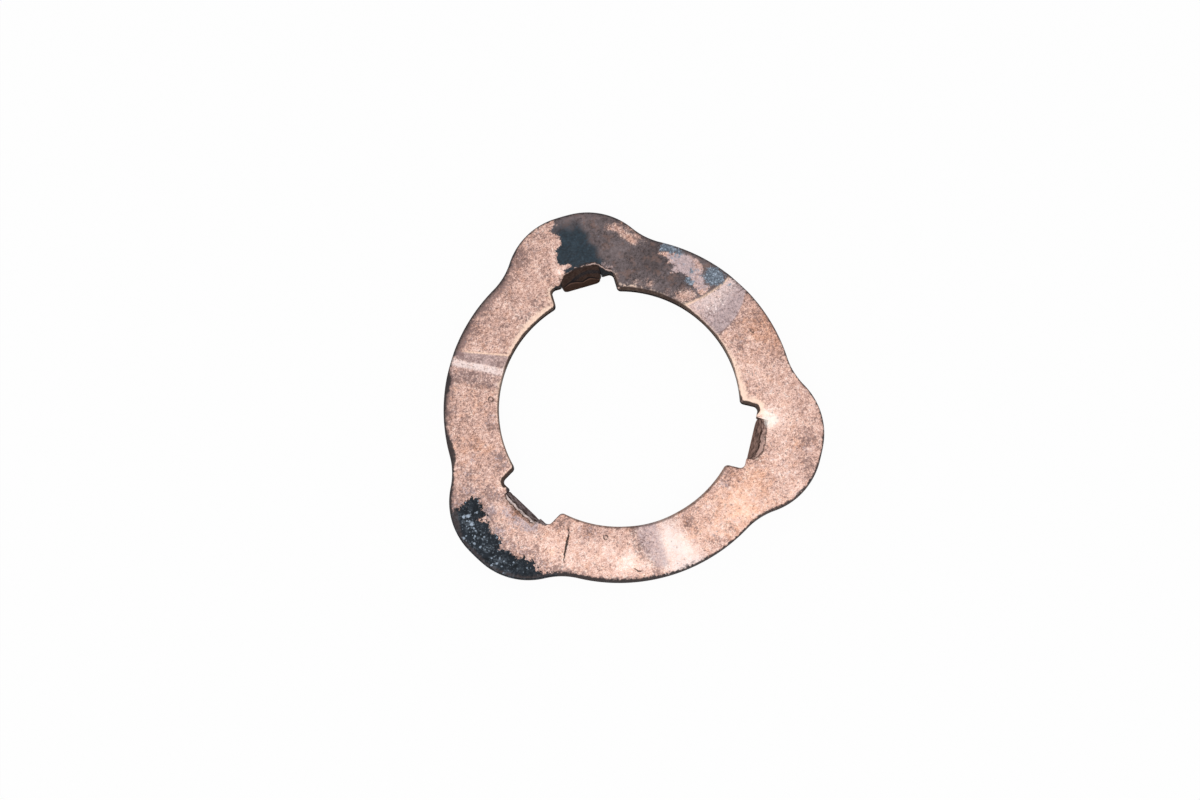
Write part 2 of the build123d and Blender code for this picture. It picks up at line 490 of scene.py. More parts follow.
def tongue_points(loop, wide, axis, size):
    """A tab as loops of points carried from its root down the bend and the leg.

    The root loop runs across the thrust side (its first wide points), then round the section. Each
    of its points has a place across the tab and through the strip. The bend keeps that place at a
    distance from the bend's centre, and the leg carries it straight down. The width tapers to the
    tip, the lower corners are quarter circles, and the section's own corners round off as the tab
    leaves its throat.
    """
    strip, corner = size["strip"], size["tab_corner"]
    uv = to_lobe(loop[:, :2], axis)
    half = size["tab"] / 2
    across = uv[:, 0] / half
    sunk = strip - loop[:, 2]
    depth = np.clip((sunk - sunk[wide - 1]) / (strip - sunk[wide - 1]), 0, 1) * strip
    depth[:wide] = 0.0
    sunk = sunk - depth
    outer_bend = size["bend"] + strip
    leg_top, leg_end = -size["bend"], -size["tab_drop"]
    sheared, edge_round, tip_round = 0.02, 0.17, 0.16

    bend = np.radians(np.linspace(0, 90, 17)[1:])
    leg = np.linspace(leg_top, leg_end + corner, 12)[1:]
    sweep = np.radians(np.linspace(0, 90, 9)[1:])
    height = np.concatenate([leg, leg_end + corner * (1 - np.sin(sweep))])
    turn = np.concatenate([bend, np.full(len(height), np.pi / 2)])[:, None]
    height = np.concatenate([np.full(len(bend), leg_top), height])[:, None]
    loops = np.arange(len(turn))[:, None]

    taper = (leg_top - height) / (leg_top - leg_end)
    past = np.clip((leg_end + corner - height) / corner, 0, 1)
    near_tip = np.clip((leg_end + tip_round - height) / tip_round, 0, 1)
    side = half + (size["tab_tip"] / 2 - half) * taper - sheared * smooth(turn / 0.9)
    side = side - corner * (1 - np.sqrt(1 - past**2))
    thick = strip / 2 - tip_round * (1 - np.sqrt(1 - near_tip**2))
    radius = 0.03 + edge_round * smooth((loops - 7) / 10)

    place_u = across * side
    place_w = (depth / strip * 2 - 1) * thick
    core_u = np.clip(place_u, -(side - radius), side - radius)
    core_w = np.clip(place_w, -(thick - radius), thick - radius)
    away = np.hypot(place_u - core_u, place_w - core_w)
    squeeze = np.where(away > radius, radius / np.maximum(away, 1e-9), 1.0)
    place_u = core_u + (place_u - core_u) * squeeze
    through = core_w + (place_w - core_w) * squeeze + strip / 2 + sunk * np.cos(turn) ** 2
    travelled = outer_bend * turn + (leg_top - height)
    # The front is hollowed above the humps and along the fold
    hollow = 0.13 * bell(travelled - hump_line(uv[:, 0]) + 0.32, 0.25)
    hollow += 0.09 * bell(travelled - bowed(uv[:, 0], *FOLD), 0.25)
    through = through + hollow * np.clip(1 - 3 * depth / strip, 0, 1)
    arm = outer_bend - through
    on_leg = loops >= len(bend)
    v = np.where(on_leg, size["tab_face"] + through, bend_start(size) - arm * np.sin(turn))
    z = np.where(on_leg, height, strip - outer_bend + arm * np.cos(turn))
    xy = to_world(np.stack([place_u, v], -1), axis)
    return np.concatenate([xy, z[..., None]], -1), np.broadcast_to(travelled, v.shape)


def column_gap(xy, rim, edge, skip):
    """Distance from each grid point to the rim's short pieces near its own column."""
    start = rim[edge]
    end = np.roll(start, -1, 0)
    gap = np.full(xy.shape[:2], FAR)
    for shift in range(-NEAR_COLUMNS, NEAR_COLUMNS + 1):
        a, b = np.roll(start, shift, 0)[:, None], np.roll(end, shift, 0)[:, None]
        run = b - a
        share = np.clip(((xy - a) * run).sum(-1) / np.maximum((run * run).sum(-1), 1e-12), 0, 1)
        here = np.linalg.norm(xy - (a + share[..., None] * run), axis=-1)
        gap = np.minimum(gap, np.where(np.roll(skip, shift, 0)[:, None], FAR, here))
    return gap


def quads_between(here, there):
    """Quads between neighbouring loops of point numbers; each loop closes on itself."""
    return np.stack([here, np.roll(here, -1, 1), np.roll(there, -1, 1), there], -1)


def washer_surface(size, crest):
    """Points, quads and notes of the whole stamping as one closed surface.

    The ring is a grid of columns round the washer by rows round its section. Where a tab joins,
    the inner wall's rows are left out and the tab's loops are joined on instead. A grid closes
    each tab's tip.
    """
    rim, roots = full_rim(size, crest)
    rows, first_root, last_root = section_rows(size["strip"])
    ring, kinds = ring_points(rim, rows, size)
    columns, high = ring.shape[:2]
    parts, faces, face_kind = [], [], []

    def add(points, kind, along, rim_gap=TAB_GAP, edge_gap=TAB_GAP):
        """Adds points with their notes, each one value or one per point; returns their numbers."""
        shape = points.shape[:-1]
        start = sum(len(part[0]) for part in parts)
        notes = (np.broadcast_to(note, shape).reshape(-1) for note in (kind, along, rim_gap, edge_gap))
        parts.append((points.reshape(-1, 3), *notes))
        return start + np.arange(math.prod(shape)).reshape(shape)

    in_root = np.zeros(columns, bool)
    for a, b in roots:
        in_root[a:b] = True
    rim_gap = column_gap(ring[..., :2], rim, "inner", in_root)
    edge_gap = column_gap(ring[..., :2], rim, "outer", np.zeros(columns, bool))
    number = add(ring, kinds, 0.0, rim_gap, edge_gap)
    row = np.arange(high)
    keep = ~(in_root[:, None] & ((row < first_root) | (row >= last_root)))
    # A throat's walls are bent metal, so they are finished like the face
    quad_kind = kinds.copy()
    for a, b in roots:
        for throat in (quad_kind[a - THROAT_COLUMNS : a], quad_kind[b : b + THROAT_COLUMNS]):
            throat[throat == INNER_WALL] = FACE
    faces.append(quads_between(number, np.roll(number, -1, 0))[keep])
    face_kind.append(quad_kind[keep])

    side = np.concatenate([row[:first_root][::-1], row[last_root + 1 :][::-1]])
    for (a, b), axis in zip(roots, LOBE_AXES):
        top, under = number[a : b + 1, first_root], number[a : b + 1, last_root]
        loop = np.concatenate([top, number[b, side], under[::-1], number[a, side[::-1]]])
        wide, deep = len(top), len(side) + 2
        loops, travelled = tongue_points(ring.reshape(-1, 3)[loop], wide, axis, size)
        index = np.concatenate([loop[None], add(loops, TAB, travelled)])
        # The tip: the last loop is the edge of a grid, with its middle filled by straight blends
        last, ends = index[-1], loops[-1]
        turns = np.cumsum((wide, deep - 2, wide))
        patch = np.zeros((deep, wide), int)
        patch[0], patch[1:-1, -1], patch[-1], patch[1:-1, 0] = (
            last[: turns[0]],
            last[turns[0] : turns[1]],
            last[turns[1] : turns[2]][::-1],
            last[turns[2] :][::-1],
        )
        share = (np.arange(1, deep - 1) / (deep - 1))[:, None, None]
        front, back = ends[1 : wide - 1], ends[turns[1] : turns[2]][::-1][1:-1]
        patch[1:-1, 1:-1] = add(front * (1 - share) + back * share, TAB, travelled[-1, 0])
        cap = np.stack([patch[:-1, :-1], patch[:-1, 1:], patch[1:, 1:], patch[1:, :-1]], -1)
        for quads in (quads_between(index[:-1], index[1:]), cap):
            faces.append(quads.reshape(-1, 4))
            face_kind.append(np.full(len(faces[-1]), TAB))
    used, faces = np.unique(np.concatenate(faces), return_inverse=True)
    names = ("points", "kind", "along", "rim_gap", "edge_gap")
    surface = {name: np.concatenate(values)[used] for name, values in zip(names, zip(*parts))}
    return {**surface, "faces": faces.reshape(-1, 4), "face_kind": np.concatenate(face_kind)}


# ---------------------------------------------------------------- marks painted by place
# Outlines and spots are in part millimetres. Their ragged edges come from the materials.

SCALE_AREA = (
    (-36.0, -9.6), (-32.3, -9.7), (-31.6, -9.1), (-31.0, -9.3), (-30.5, -9.1), (-29.5, -8.3), (-28.9, -7.7),
    (-28.2, -8.1), (-27.4, -8.5), (-26.9, -9.7), (-27.3, -10.1), (-26.4, -11.6), (-28.2, -12.1),
    (-26.7, -12.8), (-26.8, -14.5), (-25.8, -15.3), (-25.3, -16.8), (-26.9, -17.2), (-24.6, -18.4),
    (-23.9, -19.9), (-22.4, -20.3), (-22.2, -21.1), (-21.3, -21.2), (-20.7, -22.5), (-21.1, -22.9),
    (-19.8, -23.8), (-17.8, -24.2), (-18.0, -27.0), (-36.0, -27.0),
)
TARNISH_AREA = (
    (-1.4, 37.5), (-1.5, 34.2), (-2.9, 33.2), (-1.7, 32.2), (-1.4, 30.8), (-2.9, 29.5), (-2.6, 28.9),
    (-3.5, 27.1), (-1.5, 26.6), (-0.9, 26.1), (-2.7, 25.6), (-2.2, 25.2), (-3.4, 24.3), (-3.8, 23.4),
    (-3.8, 19.0), (13.0, 13.0), (18.6, 14.3), (20.2, 14.6), (22.2, 15.1), (24.4, 16.2), (28.0, 18.0),
    (20.0, 32.0), (12.0, 38.0),
)
STREAK_AREA = (
    (6.3, 31.1), (7.0, 31.5), (7.7, 31.1), (8.4, 31.3), (9.1, 30.8), (9.8, 29.9), (10.5, 28.7), (11.2, 27.6),
    (11.4, 26.6), (10.5, 26.7), (10.0, 27.4), (9.5, 28.3), (8.8, 29.0), (8.2, 29.8), (7.2, 30.3),
)
PINK_AREA = (
    (14.3, 24.0), (15.6, 23.9), (17.2, 23.1), (18.6, 22.5), (20.2, 21.2), (20.8, 19.6), (20.1, 18.0),
    (20.1, 16.8), (21.0, 15.8), (20.2, 15.0), (18.9, 14.9), (18.3, 16.4), (17.9, 17.4), (18.2, 18.3),
    (17.2, 19.6), (15.2, 20.2), (16.2, 21.3), (15.3, 22.0), (15.8, 22.7), (15.0, 23.2),
)
# Spots below are x, y, radius and level. These are left off the seat face: blue-grey mineral bloom,
# crowding of pale blue specks, smooth grey-lilac film, thinness of the tarnish, depth of its brown, and
# crowding of painted glints.
SPOTS = {
    "bloom": (
        (21.6, 17.3, 1.2, 1.0), (22.8, 16.9, 1.3, 1.0), (22.3, 18.3, 0.9, 0.7), (15.3, 24.8, 0.8, 1.0),
        (16.4, 24.2, 0.8, 1.0), (17.6, 23.3, 0.7, 0.8), (17.6, 18.1, 0.6, 0.9), (18.1, 17.2, 0.5, 0.8),
        (18.6, 19.4, 0.45, 0.7), (24.2, 15.2, 0.5, 0.45), (17.9, 21.4, 1.0, 0.3), (19.6, 19.2, 0.9, 0.3),
        (16.6, 22.4, 0.7, 0.3),
    ),
    "frost": (
        (-30.1, -10.6, 0.9, 1.7), (-29.8, -12.2, 0.8, 1.5), (-28.8, -14.6, 1.6, 0.7),
        (-28.2, -17.0, 1.5, 0.7), (-30.6, -14.8, 1.8, 0.45), (-25.6, -21.2, 2.2, 0.45),
        (-27.2, -19.2, 1.5, 0.45), (-27.4, -9.6, 0.9, 0.6), (-23.2, -11.0, 0.7, 0.6),
        (-21.2, -14.1, 0.8, 0.6), (-25.4, -14.6, 1.0, 0.5), (-19.0, -15.2, 0.8, 0.4),
        (-25.5, -16.8, 0.8, 0.5),
    ),
    "haze": (
        (-22.8, -10.2, 1.3, 0.35), (-19.6, -15.2, 1.3, 0.4), (-21.4, -12.8, 1.5, 0.25),
        (17.6, 21.6, 2.2, 1.0), (19.2, 18.0, 2.0, 0.9), (-21.8, -3.0, 1.5, 0.55), (-26.4, -1.8, 0.8, 0.6),
        (-27.9, -3.8, 0.8, 0.5), (-21.8, 3.8, 1.0, 0.4), (-20.4, -14.9, 1.4, 0.95), (-25.2, -14.8, 1.0, 0.5),
        (-24.6, -8.4, 1.0, 0.5), (24.0, 14.6, 1.4, 0.5), (22.8, -18.2, 1.6, 0.2), (13.2, -17.9, 1.0, 0.6),
        (-10.6, -19.0, 1.8, 0.3), (5.0, -21.2, 1.0, 0.3), (-20.6, 21.2, 1.8, 0.35), (-10.5, 31.0, 2.0, 0.3),
        (-22.9, -12.4, 0.9, 0.5), (28.8, -16.4, 1.2, 0.3), (-29.0, -6.6, 0.9, 0.4), (23.4, 5.0, 0.9, 0.3),
        (-19.6, -15.3, 0.8, 0.7), (-25.8, -11.2, 1.2, 0.6), (17.0, 20.0, 1.6, 0.6), (20.2, 16.4, 1.2, 0.6),
        (13.0, 18.0, 1.2, 0.4), (-23.8, -12.0, 0.8, 0.6), (-22.2, -14.2, 1.0, 0.6), (4.3, 24.9, 0.7, 1.2),
        (5.7, 23.9, 0.6, 1.0), (-31.4, -9.0, 1.2, 0.5), (17.2, 22.4, 1.8, 0.4),
    ),
    "thin": (
        (15.6, 15.6, 1.5, 0.75), (13.4, 17.1, 0.9, 0.45), (17.4, 15.2, 1.2, 0.8), (8.8, 20.2, 0.9, 0.5),
        (11.2, 19.3, 1.1, 0.6), (12.4, 27.4, 1.2, 0.35), (7.2, 21.6, 1.0, 0.15), (10.6, 30.0, 0.9, 0.8),
        (11.6, 28.4, 0.8, 0.8), (9.6, 31.2, 0.7, 0.6), (4.3, 24.9, 0.5, 0.8), (5.7, 23.9, 0.4, 0.7),
        (4.9, 24.3, 0.4, 0.6),
    ),
    "deep": (
        (27.6, 5.8, 1.8, 0.3), (13.4, 22.8, 2.4, 1.0), (11.4, 25.0, 1.8, 0.6), (16.4, 18.4, 1.6, 0.9),
        (9.4, 22.2, 1.8, 0.6), (5.0, 30.4, 1.6, 0.5), (14.0, 25.4, 1.0, 0.7), (7.6, 26.6, 1.5, -0.6),
        (5.4, 22.6, 1.2, -0.5), (10.0, 20.2, 1.2, -0.4), (4.5, 33.6, 1.5, -0.2), (8.8, 32.0, 1.2, 0.3),
        (22.0, 20.4, 1.6, -0.4), (0.5, 34.2, 1.6, -0.3), (19.6, 22.6, 1.6, -0.3), (12.6, 21.9, 1.6, 0.5),
        (6.4, 29.2, 1.5, 0.4),
    ),
    "glints": (
        (19.6, 11.7, 0.7, 1.1), (20.6, 12.2, 0.8, 1.4), (21.6, 12.8, 0.8, 1.2), (22.7, 13.6, 0.8, 0.8),
        (24.2, 15.2, 0.7, 1.1), (17.8, 13.4, 0.5, 0.7), (25.8, 13.4, 0.6, 0.5), (0.6, -29.0, 1.1, 0.6),
    ),
}
# Brown in the black scale, at the outer rim
SCALE_BROWN = ((-32.4, -9.8, 1.6, 0.9), (-32.4, -12.0, 1.4, 0.5))
# Brightness of the rubbed metal above and below its usual level; the rise towards -y and +x and
# the pale spots beside two tabs are painted highlight
RUBBED_AND_LIT = (
    (-13.0, -22.5, 6.0, 0.25), (-5.6, -25.6, 1.9, 0.6), (-6.6, -26.8, 1.6, 0.3), (1.6, -24.6, 2.6, 0.75),
    (3.6, -27.2, 2.4, 0.6), (0.0, -28.9, 1.6, 0.4), (16.0, -21.5, 5.5, 0.35), (25.0, -21.6, 1.8, 0.35),
    (23.8, -9.8, 1.1, 0.7), (23.6, -17.6, 2.0, 0.25), (-24.5, -14.0, 4.0, 0.1), (-3.2, 25.9, 1.0, 0.7),
    (-25.0, 6.0, 5.0, -0.12), (-24.0, -1.0, 4.0, -0.06), (27.4, 8.0, 3.2, -0.3), (23.0, 4.6, 2.0, -0.15),
    (-9.8, 30.6, 2.6, -0.42), (-13.0, 27.0, 2.0, -0.25), (-20.4, 20.4, 2.0, -0.3), (8.2, -25.6, 2.4, 0.15),
    (5.2, -22.4, 1.2, -0.3), (-9.0, -20.0, 2.0, -0.15), (-1.6, -23.8, 1.2, -0.2), (28.6, 0.6, 2.4, -0.15),
    (-15.0, 20.0, 4.0, 0.06), (-8.6, -23.0, 1.6, 0.3), (28.6, -14.6, 2.0, -0.15), (-23.4, 13.0, 2.0, -0.2),
    (20.0, -20.4, 2.2, -0.15), (-14.4, -26.0, 2.0, -0.1), (28.0, -19.4, 1.4, -0.2), (25.8, -11.0, 2.6, 0.3),
    (27.2, -5.0, 3.0, 0.2), (24.4, 5.0, 1.5, 0.35), (13.4, -23.6, 3.0, 0.2), (-24.5, 5.2, 1.5, 0.25),
    (-16.7, 18.6, 2.0, -0.2), (-14.9, -16.4, 1.3, -0.45), (-11.2, -19.2, 1.5, -0.45),
    (15.2, -16.2, 1.4, -0.4), (-23.6, 11.0, 1.4, 0.1), (-2.9, -27.4, 1.4, 0.4), (-10.4, 19.8, 1.4, 0.2),
    (-17.4, -20.2, 2.5, 0.2), (24.0, 0.0, 2.5, 0.18), (-22.3, 0.2, 1.4, 0.25), (-21.8, -12.7, 0.9, -0.7),
    (-4.9, 23.7, 0.5, -0.4), (22.4, -12.6, 1.0, 0.2), (24.0, -9.2, 1.2, 1.1), (23.2, -7.9, 0.7, 0.6),
    (-20.3, 9.4, 1.0, -0.3), (26.0, 12.6, 1.4, -0.15), (10.0, -24.8, 1.6, 0.3),
)
# Warmth of the bronze, and below nought its coolness
WARM = (
    (27.6, 6.4, 3.4, 1.0), (-26.0, 0.6, 2.2, 0.7), (15.0, -22.0, 6.0, 0.9), (26.8, -14.2, 1.6, 0.7),
    (-23.5, 8.0, 2.6, 0.4), (19.4, -18.0, 2.0, 0.6), (-16.0, -18.0, 3.0, 0.35), (-21.8, -12.9, 0.8, 1.6),
    (-18.0, 12.4, 1.5, 0.3), (6.4, -24.0, 2.6, 0.5), (28.6, 2.6, 1.6, 0.6), (-13.0, -24.0, 3.0, 0.25),
    (9.2, 29.4, 2.2, 0.4), (23.6, 2.0, 1.2, 0.4), (-24.0, -1.2, 1.2, 0.5), (17.6, 21.4, 2.6, -1.4),
    (19.8, 17.8, 2.0, -1.2),
)
# Crowding of the purple-brown film in the grain
FILM_SPOTS = (
    (-7.8, 24.1, 1.6, -0.4), (-9.4, 30.4, 2.0, 0.9), (-12.6, 27.4, 1.6, 0.8), (-5.6, 33.0, 1.3, 0.7),
    (-8.2, 21.4, 1.1, 1.2), (-11.2, 19.4, 1.1, 1.4), (21.8, -13.8, 0.8, 0.9), (-17.6, 22.8, 1.6, 0.7),
    (-21.4, 20.4, 1.8, 0.9), (13.4, -17.8, 0.9, 1.4), (29.4, -14.6, 1.3, 0.9), (28.0, -18.6, 1.3, 0.8),
    (11.6, -24.9, 1.0, 1.5), (9.2, -26.6, 0.9, 1.3), (-21.6, -2.8, 1.4, 0.7), (-22.6, -4.8, 0.9, 0.9),
    (-27.6, -4.2, 1.2, 0.7), (-21.6, 2.8, 1.2, 0.6), (-25.0, -8.2, 1.3, 1.3), (-16.7, -22.5, 0.4, 2.2),
    (-19.1, -21.9, 0.4, 2.0), (23.2, 5.0, 1.4, 0.7), (6.0, -22.4, 0.7, 1.3), (-2.8, -22.9, 0.7, 1.1),
    (-2.6, -25.6, 0.8, 0.9), (-22.8, 10.4, 0.7, 1.5), (-26.6, 10.0, 0.7, 1.0), (-28.6, -6.3, 0.8, 1.2),
    (7.0, -24.4, 1.0, 0.6), (-31.3, -7.8, 0.7, 1.6), (-31.6, -10.0, 0.8, 1.5), (-30.4, -8.0, 0.7, 0.6),
    (-26.0, 12.6, 1.2, 0.6), (-12.6, 23.2, 0.8, 0.8), (-5.2, 25.6, 0.5, 1.0), (-13.6, -17.0, 0.5, 1.0),
    (-20.0, -20.2, 0.5, 0.9), (22.8, 8.6, 0.5, 1.4), (20.2, 7.4, 0.3, 2.0), (-15.4, 19.6, 1.2, 0.5),
    (-25.0, 5.4, 1.4, 0.5), (-27.8, 7.4, 1.2, 0.6),
)
# Widths along a rim, by angle round the washer, in degrees and millimetres: dark film at the outer
# rim, near-black painted dark reflection on the outer edge's roll, rubbed metal with a painted highlight
# at the bore, painted shade at the bore's edge
WIDTHS = (
    ("edge_film", "edge_gap", (
        (0, 0.05), (14, 0.1), (24, 0.3), (30, 0.2), (33, 0.1), (36, 0.35), (44, 0.35), (58, 0.45), (64, 0.4),
        (84, 0.3), (90, 0.1), (100, 0.1), (111, 0.4), (118, 1.2), (126, 1.4), (132, 1.0), (139, 1.1),
        (145, 1.6), (147, 0.2), (152, 0.3), (153, 1.0), (157, 1.3), (162, 1.0), (168, 0.9), (172, 0.6),
        (175, 1.0), (181, 0.8), (184, 0.2), (188, 0.4), (192, 0.8), (197, 0.7), (200, 0.3), (230, 0.3),
        (234, 0.8), (240, 0.8), (248, 0.75), (255, 0.65), (262, 0.6), (266, 0.4), (272, 0.3), (277, 0.45),
        (283, 0.15), (300, 0.1), (325, 0.1), (360, 0.05),
    )),
    ("edge_dark", "edge_gap", (
        (0, 0.2), (36, 0.2), (60, 0.25), (118, 0.3), (152, 0.3), (154, 0.9), (158, 0.85), (160, 0.35),
        (173, 0.35), (176, 1.05), (182, 0.95), (185, 0.35), (196, 0.45), (204, 0.25), (230, 0.3), (237, 0.55),
        (262, 0.5), (272, 0.35), (284, 0.3), (300, 0.3), (306, 0.4), (322, 0.36), (330, 0.28), (345, 0.2),
        (360, 0.2),
    )),
    ("rim_rub", "rim_gap", (
        (0, 1.0), (14, 0.7), (22, 0.5), (33, 0.5), (37, 0.55), (41, 0.9), (46, 0.5), (52, 0.6), (60, 0.6),
        (66, 0.9), (73, 0.7), (77, 0.45), (80, 0.35), (81, -0.3), (99, -0.3), (100, 0.4), (102, 0.6),
        (110, 1.15), (126, 1.2), (137, 0.7), (140, 0.0), (148, 0.3), (152, 0.6), (166, 0.3), (185, 0.2),
        (193, 0.45), (196, 0.8), (199, 0.8), (202, -0.5), (325, -0.5), (339, -0.3), (340, 1.0), (344, 1.5),
        (350, 1.4), (355, 1.0), (360, 1.0),
    )),
    ("bore_film", "rim_gap", (
        (0, 0.2), (14, 0.26), (33, 0.3), (40, 0.42), (56, 0.5), (73, 0.5), (76, 0.35), (80, 0.3),
        (80.4, -0.3), (99, -0.3), (100.6, 0.15), (104, 0.35), (107, 0.35), (110, 0.27), (138, 0.27),
        (150, 0.2), (190, 0.2), (194, 0.4), (199, 0.6), (200.4, -0.3), (219, -0.3), (220.6, 0.15),
        (226, 0.15), (230, 0.35), (265, 0.35), (272, 0.45), (312, 0.45), (316, 0.2), (320.4, -0.3),
        (339, -0.3), (341, 0.4), (346, 0.5), (350, 0.2), (353, 0.1), (360, 0.15),
    )),
)
# How dark the painted shade at the bore's edge is, by angle
BORE_DARK = (
    (0, 0.7), (20, 0.9), (36, 0.95), (138, 0.94), (152, 0.75), (190, 0.75), (194, 0.98), (200, 0.98),
    (204, 0.6), (226, 0.5), (312, 0.55), (336, 0.8), (340, 0.97), (347, 0.97), (352, 0.6), (360, 0.6),
)
# Each tab: its axis; how far past the bend's start its dark stain begins, at places across it; how
# strong the crease's painted highlight there is, at places across; then the crease's half width, and how
# blue and how light the stain is
TABS = (
    (
        90.0,
        ((-5.6, 1.85), (-4.6, 1.3), (-4.0, 0.6), (-3.2, -0.2), (-1.5, -0.5), (0.0, -0.4), (1.5, -0.1),
         (2.8, 0.4), (3.6, 1.4), (4.2, 1.75), (5.0, 1.85)),
        ((-4.4, 0.9), (-2.6, 0.9), (-1.8, 0.5), (1.5, 0.35), (2.6, 0.1), (3.6, 0.0)),
        (0.07, 0.3, 0.0),
    ),
    (
        210.0,
        ((-4.6, 5.0), (-4.3, 2.0), (-3.6, 1.2), (-3.0, 0.9), (-1.7, 0.75), (0.0, 0.65), (1.7, 0.7),
         (3.0, 0.85), (3.6, 1.2), (4.4, 1.5), (5.2, 1.75), (5.7, 5.0)),
        ((-3.8, 0.3), (-3.0, 1.0), (2.6, 1.0), (3.6, 0.5), (4.2, 0.1)),
        (0.11, 0.9, 0.3),
    ),
    (
        330.0,
        ((-4.0, 5.0), (-3.6, 1.4), (-3.2, 0.8), (-2.6, 0.2), (-1.75, -0.1), (0.0, 0.0), (1.75, 0.2),
         (3.0, 0.45), (3.6, 0.8), (4.0, 5.0)),
        ((-3.6, 0.6), (-2.6, 1.0), (0.0, 1.0), (2.0, 0.5), (3.6, 0.3)),
        (0.26, 0.1, 1.0),
    ),
)


def by_angle(xy, table):
    """A value read from a table of angles and levels, with straight blends between."""
    angle = np.degrees(np.arctan2(xy[..., 1], xy[..., 0])) % 360
    return np.interp(angle, *zip(*table))


def spots(xy, rows):
    """Sum of soft round spots, each x, y, radius and amount."""
    total = np.zeros(xy.shape[:-1])
    for x, y, radius, amount in rows:
        total += amount * spot(xy, x, y, radius)
    return total


def groove_marks(xy):
    """Levels of each groove's film (partly painted shade on a flank), its dullness, rubbed bed with a painted
    highlight, bright crest (partly wear, partly painted highlight), dark edge and dark dots.
    """
    names = ("groove_film", "groove_dull", "groove_shine", "groove_crest", "groove_edge", "groove_dots")
    film, dull, shine, crest, edge, dots = np.zeros((len(names), len(xy)))

    def step(offset, place, soft):
        """0 before a place and 1 after it."""
        return smooth((offset - place) / soft + 0.5)

    def across(axis):
        """Offset, distance and share of one groove, and which points are near it."""
        x, reach, share = groove_frame(xy, axis)
        return x, reach, share, (reach > SAME_SIDE) & (np.abs(x) < 9)

    # Groove at 150 degrees: dull film to a thin sharp crest with a partly painted highlight, and a straight
    # rubbed bed that also carries a painted highlight
    x, reach, share, near = across(150.0)
    high = 4.2 - 1.4 * share
    here = near * step(x, -2.0 - 0.5 * share, 1.6) * (1 - step(x, high, 0.2))
    film += here * (0.4 + 0.45 * step(x, 1.8, 0.5))
    dull += here * step(x, 1.4, 0.6) * (0.7 + 0.5 * smooth((23.0 - reach) / 2))
    shine += near * step(x, 0.6 - 0.25 * share, 0.5) * (1 - step(x, 1.85 - 0.3 * share, 0.5)) * 0.78
    crest += near * bell(x - high - 0.05, 0.13) * smooth((29.0 - reach) / 2)
    dots += here * 0.5

    # Groove at 270 degrees: grey film and painted shade on the flank facing away from the light, with a
    # ragged brown border, and a broad pale bed of rubbed metal and painted highlight on the flank facing the
    # light
    x, reach, share, near = across(270.0)
    left = np.interp(reach, (20.6, 23.0, 24.5, 26.0, 28.0, 29.3), (4.0, 4.2, 3.95, 3.5, 2.5, 1.9))
    start = np.interp(reach, (21.0, 23.0, 26.0, 29.0), (-3.0, -3.6, -4.9, -6.6))
    lit = smooth((reach - 27.6) / 1.8)
    film += near * step(x, -0.7, 1.8) * (1 - step(x, left - 0.6, 1.3)) * 0.7 * (1 - 0.6 * lit)
    dull += near * step(x, left - 0.9, 0.9) * (1 - step(x, left + 0.2, 0.5)) * 0.35
    shine += near * step(x, start, 3.2) * (1 - step(x, -0.6, 2.8)) * (0.6 + 0.3 * lit)
    dots += near * bell(x - left + 0.2, 0.6) * 1.1

    # Groove at 30 degrees: bowed sharp crest with a partly painted highlight, a pale speckled band that is
    # partly painted highlight, then smooth grey film, partly painted shade, to a dotted edge
    x, reach, share, near = across(30.0)
    low = -1.85 - 2.25 * (1 - share) ** 2
    high = 3.6 + 2.4 * share - 4.4 * share**2
    here = near * step(x, low, 0.3)
    film += here * (1 - step(x, high, 0.5)) * (0.66 + 0.26 * step(x, 0.0, 2.4))
    shine += here * (1 - step(x, 0.3, 2.0)) * (0.1 + 0.28 * smooth((reach - 21.6) / 2.6))
    crest += near * bell(x - low + 0.05, 0.14 + 0.16 * smooth((22.6 - reach) / 2)) * 0.9
    edge += near * bell(x - high, 0.16) * smooth((27.5 - reach) / 3)
    edge += near * bell(x - low + 0.42, 0.13) * smooth((reach - 22.0) / 1.5)
    dots += near * bell(x + 0.5, 0.8) * 1.2
    return dict(zip(names, (film, dull, shine, crest, edge, dots)))


def char_level(xy):
    """Level of blue-black inside the tarnish on the first lobe: soft to the right and to the top."""
    x, y = xy[:, 0], xy[:, 1]
    border = np.interp(y, (26.0, 28.0, 30.0, 32.4, 34.0), (4.3, 4.0, 3.3, 2.9, 2.1))
    border = border + 0.25 * np.sin(2.3 * y)
    side = 1 - smooth((x - border + 1.3) / 2.5)
    top = 1 - 0.5 * smooth((y - 31.4 + 0.3 * np.sin(2.1 * x)) / 1.9) - 0.25 * smooth((y - 33.2) / 1.2)
    return side * top * smooth((y - 24.4) / 0.7)


def tab_marks(xy, surface, size):
    """Levels by place on the tabs: distances past the stain's start, humps and fold, tints, and painted shade
    beside each root.
    """
    none = np.full(len(xy), NO_TAB)
    marks = {"past": none, "hump": none, "fold": none}
    for axis, levels, pale, (wide, blue, light) in TABS:
        uv = to_lobe(xy, axis)
        u = uv[:, 0]
        along = np.where(surface["kind"] == TAB, surface["along"], bend_start(size) - uv[:, 1])
        mine = (uv[:, 1] > SAME_SIDE) & (np.abs(u) < 6.0)
        here = {
            "past": along - np.interp(u, *zip(*levels), left=5.0, right=5.0),
            "hump": along - hump_line(u),
            "fold": along - bowed(u, *FOLD),
            "u": u,
            "crease": np.interp(u, *zip(*pale)),
            "wide": wide,
            "blue": blue,
            "light": light,
            # Painted shade beside the tab's root
            "side": smooth((np.abs(u) - 3.35) / 0.3) * (1 - 0.35 * light) * (u < 3.2 + 9.0 * (blue < 0.5)),
        }
        for name, values in here.items():
            marks[name] = np.where(mine, values, marks.get(name, 0.0))
    return {"tab_" + name: values for name, values in marks.items()}


